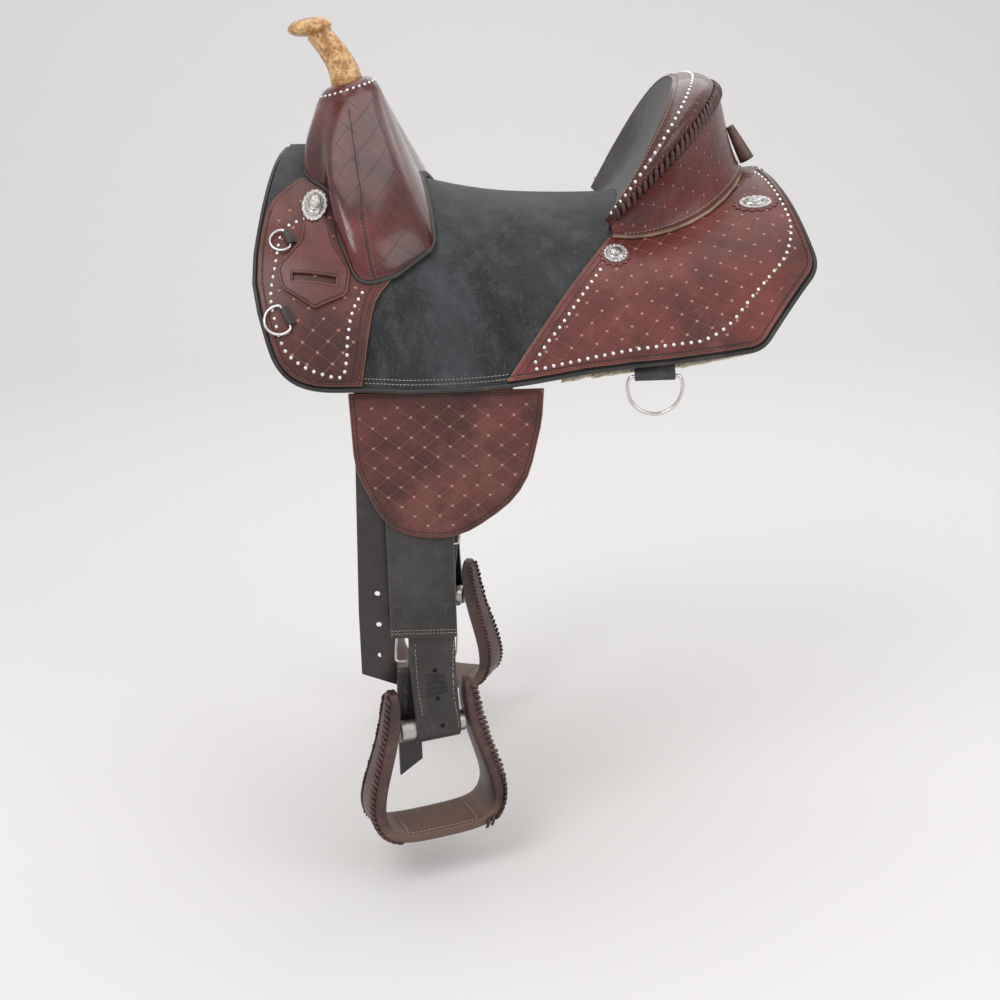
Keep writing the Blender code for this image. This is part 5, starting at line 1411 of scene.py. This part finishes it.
def fleece_edge():
    """The fleece's outline, with tufts that show below the skirt behind the fender."""
    rng = random.Random(3)
    result = []
    for point, out in zip(skirt(0.002), skirt(-0.004)):
        front, rear = (point.x + 0.02) / 0.05, (0.24 - point.x) / 0.06
        share = min(1.0, max(0.0, front)) * min(1.0, max(0.0, rear))
        share *= 1.0 if abs(point.y) > 0.25 else 0.0
        result.append(point.lerp(out, share * rng.uniform(0.55, 1.0)))
    return result


def make_pads():
    """Fleece lining and the foam over it, shaped as soft pads."""
    rng = random.Random(7)
    phase = [rng.uniform(0, math.tau) for _ in range(8)]

    def curls(flat):
        """Low waves of the fleece's curls."""
        wave = sum(
            np.sin(flat[:, 0] * (240 + 70 * k) + phase[k]) * np.sin(flat[:, 1] * (210 + 60 * k)
                                                                    + phase[k + 4])
            for k in range(4)
        )
        return 0.0004 * wave - 0.0008
    pocket = divided([Vector(p) for p in POCKET])
    for side, word in SIDES:
        half = one_side(0.003)
        mesh = sheet_mesh(
            f"fleece_{word}", [fleece_edge(), half], [pocket], FLEECE[1] - 0.0002, FLEECE[0], 0.007,
            lambda flat, lift: drape(flat, lift, side)[0], (skirt(0.002),), curls,
        )
        pad = new_piece(f"fleece_{word}", mesh, "saddle", "fleece", f"fleece_pad_{word}",
                        slot="fleece")
        softened(pad, 0.0036, 3)
        dressed(f"padding_{word}", "saddle", "felt", "felt", 0, bevel=0.0010)


def pommel_pattern(grid):
    """Flat coordinates of the pommel: round each ring from the middle of either side, and down."""
    spokes = len(grid)
    steps = np.linalg.norm(np.diff(grid, axis=0, append=grid[:1]), axis=2)
    run = np.concatenate([np.zeros((1, grid.shape[1])), np.cumsum(steps, axis=0)[:-1]])
    near, far = spokes // 4, 3 * spokes // 4
    around = np.where(np.arange(spokes)[:, None] < spokes / 2, run - run[near], run[far] - run)
    return np.stack([around, -1.12 * grid[:, :, 2]], axis=2).reshape(-1, 2)


def make_pommel():
    """The pommel's leather with its collar, seams and welt."""
    grid = pommel_rings().transpose(1, 0, 2)
    normals = grid_normals(grid, True)
    inner = grid - normals * POMMEL_THICK
    inner[:, 0] += (0, 0, 0.0002)
    inner[:, -1] = grid[:, -1] - (0, 0, POMMEL_THICK)
    obj = new_piece(
        "pommel_leather", shell_mesh("pommel_leather", grid, inner, pommel_pattern(grid), True),
        "saddle", "pommel", "pommel_cover", slot="tooled_leather",
    )
    skin = Skin(softened(obj, 0.0010))
    collar = collar_ring(COLLAR_CENTRE + Vector((0, 0, 0.0075)), 0.035, 0.032, 90)
    row_of("collar_spots", "saddle", dome(0.0021, 0.0014), "spot",
           skin.row([Vector(p) for p in collar], 0.0078, 0.0002, True))
    foot = evenly_count([p.to_3d() for p in divided(both_sides(rounded(POMMEL_FOOT)), 0.003)], 300)
    points = drape([p[:2] for p in foot], FOOT_LIFT - 0.0008)[0]
    tube("pommel_welt", [Vector(p) for p in points], 0.0030, "welt", "black_leather", True)
    for side, word in SIDES:
        seam = skin.near(seam_path(grid, side, -0.185, -0.213), 0.0002)
        tube(f"pommel_seam_{word}", seam, 0.0008, "edge", "tooled_leather")
        for name, step in (("front", -0.0034), ("rear", 0.0034)):
            moved = [p + Vector((step, 0, 0)) for p in seam]
            row_of(f"pommel_stitches_{word}_{name}", "saddle", stitch_shape(0.0030, 0.0004),
                   "brown_thread", skin.row(moved, 0.0044))
    dressed("pommel_core", "saddle", "felt", "core", 0)


def seam_path(grid, side, low_x, high_x):
    """Up the pommel's side from a place on its foot to one on the collar."""
    ends = []
    for level, x in ((0, low_x), (SEAM_TOP - 1, high_x)):
        ring = grid[:, level]
        reach = np.abs(ring[:, 0] - x) + np.where(ring[:, 1] * side > 0.01, 0.0, 9.0)
        reach -= 0.2 * ring[:, 1] * side
        ends.append(int(np.argmin(reach)))
    result = [
        grid[round(ends[0] + (ends[1] - ends[0]) * (level / SEAM_TOP)), level]
        for level in range(1, SEAM_TOP + 1)
    ]
    return smooth_run([tuple(Vector(p)) for p in result[::4]], 5)


def make_cantle():
    """The cantle's dish, binding and back, with their rows, and what lies under and behind them."""
    grid = cantle_grid()
    height = np.maximum(grid[:, DISH_STEPS, 2] - grid[:, -1, 2], 0.0)
    share = np.minimum(1.0, 0.2 + 0.8 * height / 0.110)[:, None, None]
    normals = grid_normals(grid)
    for name, start, end, material, slot, lift in (
        ("dish", 0, DISH_STEPS, "dish", "suede", 0.0),
        ("binding", DISH_STEPS, BINDING_END, "binding", "binding_leather", 0.0008),
        ("back", BINDING_END, BACK_END, "cantle", "tooled_leather", 0.0),
    ):
        outer = grid[:, start:end + 1] + normals[:, start:end + 1] * lift
        inner = grid[:, start:end + 1] - normals[:, start:end + 1] * 0.0024 * share
        mesh = shell_mesh(f"cantle_{name}_leather", outer, inner, arc_pattern(outer))
        obj = new_piece(
            f"cantle_{name}_leather", mesh, "saddle", material, f"cantle_{name}", slot=slot
        )
        skin = Skin(softened(obj, 0.0007))
        for row, leather, column, skip, shape, finish, rides, spacing, high, skew in CANTLE_ROWS:
            if leather == name:
                run = [Vector(p) for p in grid[skip:-skip, column]]
                row_of(f"cantle_{row}", "saddle", shape(), finish,
                       skin.row(run, spacing, high, skew=skew))
    dressed("cantle_core", "saddle", "felt", "core", 0)
    dressed("cantle_base", "saddle", "layer", "black_leather", 0, bevel=0.0008)
    dressed("cantle_roll", "saddle", "roll", "binding_leather", 2, 60)


def gooseneck(mesh, steps=20, sides=28):
    """Fills the horn's wrap out to rings that stand square on its bent neck, and its cap."""
    shape = bmesh.new()
    shape.from_mesh(mesh)
    rings = []
    for k in range(steps):
        t = k / (steps - 1)
        lean = math.radians(HORN_LEAN + HORN_BEND * t)
        centre = Vector((HORN_FOOT[0] - HORN_REACH * t ** 1.6, 0, HORN_FOOT[1] + HORN_RISE * t))
        radius = HORN_RADIUS - HORN_TAPER * t
        rings.append([
            shape.verts.new(
                centre + Vector((math.cos(lean), 0, math.sin(lean))) * radius * math.cos(turn)
                + Vector((0, radius * math.sin(turn), 0))
            )
            for turn in (math.tau * j / sides for j in range(sides))
        ])
    for low, high in zip(rings, rings[1:]):
        for j in range(sides):
            after = (j + 1) % sides
            shape.faces.new((low[j], low[after], high[after], high[j]))
    shape.faces.new(rings[0][::-1])
    shape.faces.new(rings[-1])
    cap = bmesh.ops.create_uvsphere(shape, u_segments=28, v_segments=16, radius=1.0)["verts"]
    place = Matrix.Translation(HORN_CAP) @ Matrix.Rotation(HORN_CAP_TILT, 4, "Y")
    place @= Matrix.Diagonal((*HORN_CAP_HALF, 1.0))
    bmesh.ops.transform(shape, matrix=place, verts=cap)
    bmesh.ops.recalc_face_normals(shape, faces=shape.faces)
    shape.to_mesh(mesh)
    shape.free()


def make_horn():
    """Rawhide wrapped round the horn, its surface evened out."""
    mesh = refined("horn_wrap", quads=False)
    gooseneck(mesh)
    horn = new_piece("horn_rawhide", mesh, "saddle", "rawhide", "horn_wrap", slot="rawhide")
    blocks = horn.modifiers.new("blocks", "REMESH")
    blocks.mode, blocks.voxel_size = "VOXEL", 0.0011
    even = horn.modifiers.new("even", "SMOOTH")
    even.factor, even.iterations = 0.5, 9
    applied(horn)
    horn.data.shade_smooth()
    dressed("horn_core", "saddle", "steel", "steel", 0)


def make_keepers():
    """Slotted keepers, each one leather that bends between the saddle and its hinged body."""
    for side, word in SIDES:
        slot_hole = divided([Vector(p) for p in KEEPER_SLOT], 0.004)
        outline = divided(rounded(KEEPER_OUTLINE), 0.003)
        obj = layer(
            f"keeper_{word}_leather", [outline], [slot_hole], KEEPER, side, "keeper", None,
            f"latigo_keeper_{word}", slot="tooled_leather", step=0.003,
            edges=(outline, slot_hole), bevel=0.0009,
        )
        ends = drape([(KEEPER_MIDDLE, KEEPER_BEND + reach) for reach in (-BEND_REACH, BEND_REACH)],
                     0.0078, side)[0]
        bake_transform(obj, "saddle", f"{word}_keeper", start=tuple(ends[0]), end=tuple(ends[1]))
        inner = [p.to_3d() for p in inset(outline, 0.0045) if p.y > 0.186]
        row_of(f"keeper_stamps_{word}", f"{word}_keeper", crescent_shape(0.0024, 0.00065), "stamp",
               draped_row(inner, 0.0056, KEEPER[1], side, False, math.pi))


def concho_mesh(name, spec, side, petals=16):
    """Engraved dome with a petalled rim that follows the leather's slope."""
    x, s, half_x, half_s, crown, stack = spec
    (point,), (out,) = drape([(x, s)], 0.0, side)
    (ahead,), _ = drape([(x + 0.001, s)], 0.0, side)
    out = Vector(out)
    along = Vector(ahead) - Vector(point)
    along = (along - out * along.dot(out)).normalized()
    down = out.cross(along) * (1 if out.cross(along).z < 0 else -1)
    sides = petals * 6
    steps = ((1.00, 0.0), (1.02, 0.0009), (0.99, 0.0019), (0.90, 0.0022), (0.80, 0.0018),
             (0.76, 0.0012), (0.72, 0.0022), (0.62, 0.62 * crown), (0.45, 0.86 * crown),
             (0.24, 0.97 * crown), (0.05, crown))
    base = Vector(point) + out * (PANEL_TOP + 0.0002 + stack)
    points, shares = [], []
    for scale, height in steps:
        for k in range(sides):
            turn = math.tau * k / sides
            bulge = abs(math.cos(petals * turn / 2))
            petal = 1 - (0.055 if scale > 0.77 else 0.0) * (1 - bulge)
            points.append(
                base + along * half_x * scale * petal * math.cos(turn)
                + down * half_s * scale * petal * math.sin(turn)
                + out * (height + (0.0006 * bulge if scale > 0.77 else 0))
            )
            shares.append(1 - scale if scale < 0.74 else 0.0)
    count = len(steps)
    faces = [
        (r * sides + k, r * sides + (k + 1) % sides, (r + 1) * sides + (k + 1) % sides,
         (r + 1) * sides + k)
        for r in range(count - 1) for k in range(sides)
    ]
    faces += [tuple(range(sides)), tuple(range((count - 1) * sides, count * sides))]
    return surface_mesh(name, points, faces, distance=shares, smooth=50)


def make_conchos():
    """Silver conchos, and the scalloped leather behind those on the panels."""
    for side, word in SIDES:
        for name, spec in CONCHOS.items():
            silver = f"{name}_concho_{word}_silver"
            new_piece(silver, concho_mesh(silver, spec, side), "saddle", "engraved",
                      f"{name}_concho_{word}", slot="nickel")
            if name == "front":
                continue
            x, s, half_x, half_s = spec[:4]
            rosette = [
                Vector((x + half_x * 1.28 * (1 + 0.07 * math.cos(14 * a)) * math.cos(a),
                        s + half_s * 1.28 * (1 + 0.07 * math.cos(14 * a)) * math.sin(a)))
                for a in (math.tau * k / 112 for k in range(112))
            ]
            layer(f"{name}_rosette_{word}", [rosette], [], (0.0044, 0.0057), side, "rosette",
                  "saddle", slot="binding_leather", step=0.004, bevel=0.0)


def make_hardware():
    """Dees, buckles and plates with the straps that hold them."""
    for _, word in SIDES:
        for label in ("upper", "lower"):
            dressed(f"front_dee_{label}_{word}", f"{word}_{label}_dee", "nickel", "nickel", 2,
                    ALL_SMOOTH)
            dressed(f"dee_strap_{label}_{word}", "saddle", "black", "black_leather", 0,
                    bevel=0.0005)
        dressed(f"rear_dee_{word}", f"{word}_rear_dee", "nickel", "nickel", 2, ALL_SMOOTH)
        dressed(f"rear_webbing_{word}", "saddle", "black", "black_leather", 0, bevel=0.0006)
        dressed(f"swivel_plate_{word}", "saddle", "steel", "steel", 0, bevel=0.0004)
        dressed(f"buckle_{word}", f"{word}_fender", "nickel", "nickel", 2, ALL_SMOOTH)


def upright(flat, lift, side):
    """Lays a pattern (x, z) in the fender's plane."""
    flat = np.atleast_2d(flat)
    lift = np.broadcast_to(lift, flat.shape[:1])
    return np.stack([flat[:, 0], side * (FENDER_PLANE + lift), flat[:, 1]], axis=1)


def flat_row(run, spacing, lift, side):
    """Places along a run of (x, z) in the fender's plane."""
    points = upright([p[:2] for p in evenly(run, spacing)], lift, side)
    return with_frames([Vector(p) for p in points], [Vector((0, side, 0))] * len(points))


def make_fenders():
    """What hangs from each skirt: flap, fender, sleeve, stirrup leather and billet."""
    for side, word in SIDES:
        body = f"{word}_fender"
        outline = divided(rounded(FLAP_OUTLINE), 0.005)
        mesh = sheet_mesh(
            f"fender_flap_{word}_leather", [outline], [], *FLAP, 0.007,
            lambda flat, lift: upright(flat, lift, side),
        )
        obj = new_piece(f"fender_flap_{word}_leather", mesh, body, "flap", f"fender_flap_{word}",
                        slot="tooled_leather")
        softened(obj, 0.0011)
        for name, shape, finish, margin, top, spacing in (
            ("stamps", crescent_shape(0.0030, 0.00075), "stamp", 0.0085, -0.1700, STAMP_SPACING),
            ("stitches", stitch_shape(*FINE_STITCH), "brown_thread", 0.0040, -0.1660, FINE_SPACING),
        ):
            run = [p.to_3d() for p in inset(outline, margin) if p.y < top]
            row_of(f"flap_{name}_{word}", body, shape, finish,
                   flat_row(run, spacing, FLAP[1], side))
        dressed(f"hanger_strap_{word}", f"{word}_hanger", "black", "black_leather", 0, bevel=0.0006)
        dressed(f"fender_{word}", body, "black", "black_leather", 0, bevel=0.0006)
        dressed(f"fender_sleeve_{word}", body, "sleeve", "suede", 0, bevel=0.0006)
        face = Skin(dressed(f"stirrup_leather_{word}", body, "ply", "black_leather", 1, 30))
        for name, shape, finish, (x, z), (low_x, low_z), spacing, skew in PLY_ROWS:
            out = side * (FENDER_PLANE + 0.0150)
            run = [Vector((x + (low_x - x) * t, out, z + (low_z - z) * t))
                   for t in np.linspace(0, 1, 12)]
            row_of(f"ply_{name}_{word}", body, shape(), finish,
                   face.row(run, spacing, 0.0, skew=skew))
        for name, height in (("upper", -0.4560), ("lower", -0.4600)):
            line = [Vector((x, height, 0)) for x in np.linspace(-0.1805, -0.1055, 30)]
            row_of(f"sleeve_stitches_{word}_{name}", body, stitch_shape(0.0030, 0.0005), "thread",
                   flat_row(line, FINE_SPACING, 0.00175, side))
        dressed(f"billet_{word}", f"{word}_billet", "billet", "strap_leather", 0, bevel=0.0005)


def stirrup_place(u, out, z, side):
    """A place along, out from and above the roller, in the turned stirrup's own directions."""
    turn = STIRRUP_TURN
    return Vector((
        ROLLER_X + u * math.cos(turn) + out * math.sin(turn),
        side * (ROLLER_OUT + out * math.cos(turn) - u * math.sin(turn)), ROLLER_Z + z,
    ))


def make_stirrups():
    """Laced stirrups with a stitched tread, on their rollers."""
    for side, word in SIDES:
        body = f"{word}_stirrup"
        skin = Skin(dressed(f"stirrup_{word}", body, "stirrup", "stirrup_leather", 2, 60))
        dressed(f"stirrup_roller_{word}", body, "steel", "steel", 0, bevel=0.0010)
        for way, end in ((-1, "front"), (1, "rear")):
            for place, edge, inward, length, radius, spacing in LACINGS:
                path = [
                    stirrup_place(way * u, edge * (deep / 2 - inward), z, side)
                    + Vector((way * thick * 0.5, 0, 0))
                    for u, z, thick, deep in STIRRUP_LEG
                ]
                curve = smooth_run([tuple(p) for p in path], 6)
                row_of(f"stirrup_lacing_{word}_{end}_{place}", body, braid_shape(length, radius),
                       "lace", skin.row(curve, spacing, 0.0002, skew=0.9))
        pad = [
            stirrup_place(u, edge * 0.030, -0.1215, side)
            for edge in (1, -1) for u in (np.linspace(-0.045, 0.045, 12) * edge)
        ]
        row_of(f"tread_stitches_{word}", body, stitch_shape(0.0036, 0.0006), "thread",
               skin.row(pad, 0.0052, 0.0, True))


def make_rows():
    """Spots, stamps and stitches on the panels, and stitches along the seat's edge."""
    panel_edge, *seat_rows = (
        inset(divided(both_sides(rounded(SKIRT))), d) for d in (PANEL_MARGIN, 0.009, 0.014)
    )
    front, rear = (divided(rounded(r)) for r in (FRONT_REGION, REAR_REGION))
    for side, word in SIDES:
        def places_along(runs, spacing, lift, side=side):
            return [place for run in runs
                    for place in draped_row([p.to_3d() for p in run], spacing, lift, side)]
        for name, run in (("front", SPOTS_FRONT), ("rear", SPOTS_REAR)):
            places = places_along([smooth_run(run)], settings().spot_spacing, PANEL_TOP)
            row_of(f"{name}_spots_{word}", "saddle",
                   dome(settings().spot_radius, 0.62 * settings().spot_radius), "spot", places)
        for name, region in (("front", front), ("rear", rear)):
            leather = inset(divided(rounded(FRONT_LEATHER)), 0.005) if name == "front" else region

            def inside(p, region=region, leather=leather):
                return p.y > SPINE_MARGIN and within(p, region) and within(p, leather)
            for kind, outer, inner, shape, spacing, finish in (
                ("stamps", 0.0075, 0.0085, crescent_shape(0.0029, 0.00075), STAMP_SPACING, "stamp"),
                ("stitches", 0.0035, 0.0040, stitch_shape(*FINE_STITCH), FINE_SPACING,
                 "brown_thread"),
            ):
                runs = clipped(inset(panel_edge, outer), inside)
                rim = inset(panel_edge, 0.008)
                seam = [p for p in inset(region, inner)
                        if within(p, rim) and p.y > SPINE_MARGIN and within(p, leather)]
                row_of(f"{name}_{kind}_{word}", "saddle", shape, finish,
                       places_along(runs + split_runs(seam, 0.02), spacing, PANEL_TOP))

        def bare(p):
            return p.y > 0.1 and not within(p, front) and not within(p, rear)
        stretches = [stretch for run in seat_rows for stretch in clipped(run, bare)]
        row_of(f"seat_stitches_{word}", "saddle", stitch_shape(0.0032, 0.00055), "thread",
               places_along(stretches, 0.0044, 0.0))


def split_runs(points, gap):
    """Runs of points without a gap longer than this between two of them."""
    runs = [[points[0]]] if points else []
    for before, here in zip(points, points[1:]):
        if (here - before).length > gap:
            runs.append([])
        runs[-1].append(here)
    return [run for run in runs if len(run) > 3]


# Stage

FLOOR_FRONT, FLOOR_BACK, FLOOR_SIDE, FLOOR_DROP = -4.0, 3.6, 5.0, 0.055
FLOOR_BEND, WALL_HEIGHT = 1.2, 4.5
CAMERA_LENS, CAMERA_SENSOR = 64.224, 36.0
CAMERA_PLACE = (-0.05432746, -2.205, 0.35646)
CAMERA_TURN = (71.7407427, 1.4701974, -0.6712426)
# Name, place, size and share of the key light's power.
LAMPS = (
    ("key", (-1.3, -2.0, 2.3), 1.6, 1.0), ("fill", (1.9, -1.9, 1.3), 2.0, 0.55),
    ("top", (0.1, 0.3, 2.6), 2.2, 0.55), ("back", (0.6, 2.2, 1.8), 2.0, 0.35),
)


def make_stage():
    """Pale floor and room, four soft lamps and the photograph's camera."""
    scene = bpy.context.scene
    scene.view_settings.view_transform = "Standard"
    low = CAD_BOX[0][2] - FLOOR_DROP
    mesh = bpy.data.meshes.new("floor")
    profile = [(FLOOR_FRONT, low)] + [
        (FLOOR_BACK - FLOOR_BEND + FLOOR_BEND * math.sin(a),
         low + FLOOR_BEND - FLOOR_BEND * math.cos(a))
        for a in (math.pi / 2 * k / 16 for k in range(17))
    ] + [(FLOOR_BACK, low + WALL_HEIGHT)]
    points = [(x, y, z) for x in (-FLOOR_SIDE, FLOOR_SIDE) for y, z in profile]
    count = len(profile)
    mesh.from_pydata(points, [], [(k, k + count, k + count + 1, k + 1) for k in range(count - 1)])
    mesh.shade_smooth()
    floor = bpy.data.objects.new("floor", mesh)
    scene.collection.objects.link(floor)
    paint = Paint("pale floor")
    mottle = paint.noise(1.5, 3.0)
    colour = paint.mix(mottle * 0.25, (0.86, 0.85, 0.85), (0.80, 0.79, 0.79))
    mesh.materials.append(paint.finish(colour, 0.75, Specular_IOR_Level=0.2))
    world = bpy.data.worlds.new("pale room")
    scene.world = world
    world.use_nodes = True
    world.node_tree.nodes["Background"].inputs["Color"].default_value = (1.0, 0.985, 0.98, 1.0)
    world.node_tree.nodes["Background"].inputs["Strength"].default_value = 0.62
    for name, place, size, share in LAMPS:
        lamp = bpy.data.lights.new(name, "AREA")
        lamp.shape = "SQUARE"
        lamp.size, lamp.energy = size, settings().light * share
        obj = bpy.data.objects.new(name, lamp)
        obj.location = place
        aim = Vector((0.0, 0.0, -0.15)) - Vector(place)
        obj.rotation_euler = aim.to_track_quat("-Z", "Y").to_euler()
        scene.collection.objects.link(obj)
    camera = bpy.data.cameras.new("camera")
    camera.lens, camera.sensor_width = CAMERA_LENS, CAMERA_SENSOR
    camera.clip_start = 0.05
    obj = bpy.data.objects.new("camera", camera)
    obj.location = CAMERA_PLACE
    obj.rotation_euler = [math.radians(a) for a in CAMERA_TURN]
    scene.collection.objects.link(obj)
    scene.camera = obj


# Add-on

class SaddleSettings(PropertyGroup):
    mesh_step: FloatProperty(
        name="Mesh step", description="Spacing of the leather layers' mesh", default=0.006,
        min=0.004, max=0.02, unit="LENGTH",
    )
    spot_radius: FloatProperty(
        name="Spot radius", description="Radius of the silver spots", default=0.0024, unit="LENGTH"
    )
    spot_spacing: FloatProperty(
        name="Spot spacing", description="Distance between silver spots", default=0.0098,
        unit="LENGTH",
    )
    light: FloatProperty(
        name="Light", description="Power of the key light in watts", default=34.0, unit="POWER"
    )
    chestnut: FloatVectorProperty(
        name="Chestnut", description="Colour of the rear panels' leather", subtype="COLOR",
        default=(0.190, 0.042, 0.031), min=0.0, max=1.0,
    )


class SADDLE_OT_frame_finishes(Operator):
    """Give the model's solids their finishes"""

    bl_idname = "saddle.frame_finishes"
    bl_label = "Frame"

    def execute(self, context):
        paint_frame()
        return {"FINISHED"}


class SADDLE_OT_seat(Operator):
    """Make the suede seat and its bound edge"""

    bl_idname = "saddle.seat"
    bl_label = "Seat"

    def execute(self, context):
        make_seat()
        make_bound_edge()
        return {"FINISHED"}


class SADDLE_OT_pads(Operator):
    """Make the fleece lining and the padding"""

    bl_idname = "saddle.pads"
    bl_label = "Pads"

    def execute(self, context):
        make_pads()
        return {"FINISHED"}


class SADDLE_OT_panels(Operator):
    """Make the tooled front and rear panels"""

    bl_idname = "saddle.panels"
    bl_label = "Panels"

    def execute(self, context):
        make_panels()
        return {"FINISHED"}


class SADDLE_OT_pommel(Operator):
    """Make the pommel's leather"""

    bl_idname = "saddle.pommel"
    bl_label = "Pommel"

    def execute(self, context):
        make_pommel()
        return {"FINISHED"}


class SADDLE_OT_cantle(Operator):
    """Make the cantle's leather"""

    bl_idname = "saddle.cantle"
    bl_label = "Cantle"

    def execute(self, context):
        make_cantle()
        return {"FINISHED"}


class SADDLE_OT_horn(Operator):
    """Make the rawhide horn"""

    bl_idname = "saddle.horn"
    bl_label = "Horn"

    def execute(self, context):
        make_horn()
        return {"FINISHED"}


class SADDLE_OT_keepers(Operator):
    """Make the slotted keepers"""

    bl_idname = "saddle.keepers"
    bl_label = "Keepers"

    def execute(self, context):
        make_keepers()
        return {"FINISHED"}


class SADDLE_OT_conchos(Operator):
    """Make the engraved conchos"""

    bl_idname = "saddle.conchos"
    bl_label = "Conchos"

    def execute(self, context):
        make_conchos()
        return {"FINISHED"}


class SADDLE_OT_hardware(Operator):
    """Make the dees, buckles and their straps"""

    bl_idname = "saddle.hardware"
    bl_label = "Hardware"

    def execute(self, context):
        make_hardware()
        return {"FINISHED"}


class SADDLE_OT_fenders(Operator):
    """Make the fenders, sleeves and straps"""

    bl_idname = "saddle.fenders"
    bl_label = "Fenders"

    def execute(self, context):
        make_fenders()
        return {"FINISHED"}


class SADDLE_OT_stirrups(Operator):
    """Make the laced stirrups"""

    bl_idname = "saddle.stirrups"
    bl_label = "Stirrups"

    def execute(self, context):
        make_stirrups()
        return {"FINISHED"}


class SADDLE_OT_rows(Operator):
    """Make the spots, stamps and stitches of the panels"""

    bl_idname = "saddle.rows"
    bl_label = "Rows"

    def execute(self, context):
        make_rows()
        return {"FINISHED"}


class SADDLE_OT_stage(Operator):
    """Make the floor, lights and camera"""

    bl_idname = "saddle.stage"
    bl_label = "Stage"

    def execute(self, context):
        make_stage()
        return {"FINISHED"}


OPERATORS = (
    SADDLE_OT_frame_finishes,
    SADDLE_OT_seat,
    SADDLE_OT_pads,
    SADDLE_OT_panels,
    SADDLE_OT_pommel,
    SADDLE_OT_cantle,
    SADDLE_OT_horn,
    SADDLE_OT_keepers,
    SADDLE_OT_conchos,
    SADDLE_OT_hardware,
    SADDLE_OT_fenders,
    SADDLE_OT_stirrups,
    SADDLE_OT_rows,
    SADDLE_OT_stage,
)


class SADDLE_PT_sidebar(Panel):
    """Sizes and steps of the saddle's looks"""

    bl_idname = "SADDLE_PT_sidebar"
    bl_label = "Saddle"
    bl_space_type = "VIEW_3D"
    bl_region_type = "UI"
    bl_category = "Saddle"

    def draw(self, context):
        layout = self.layout
        for name in SaddleSettings.__annotations__:
            layout.prop(context.scene.saddle, name)
        for made in OPERATORS:
            layout.operator(made.bl_idname)


CLASSES = (SaddleSettings, *OPERATORS, SADDLE_PT_sidebar)


def register():
    for made in CLASSES:
        bpy.utils.register_class(made)
    bpy.types.Scene.saddle = PointerProperty(type=SaddleSettings)


def unregister():
    del bpy.types.Scene.saddle
    for made in reversed(CLASSES):
        bpy.utils.unregister_class(made)


def main():
    """Makes every piece and the stage."""
    register()
    for made in OPERATORS:
        group, step = made.bl_idname.split(".")
        if getattr(getattr(bpy.ops, group), step)() != {"FINISHED"}:
            raise RuntimeError(f"{made.bl_label} did not finish")
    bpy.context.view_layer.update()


if __name__ == "__main__":
    main()
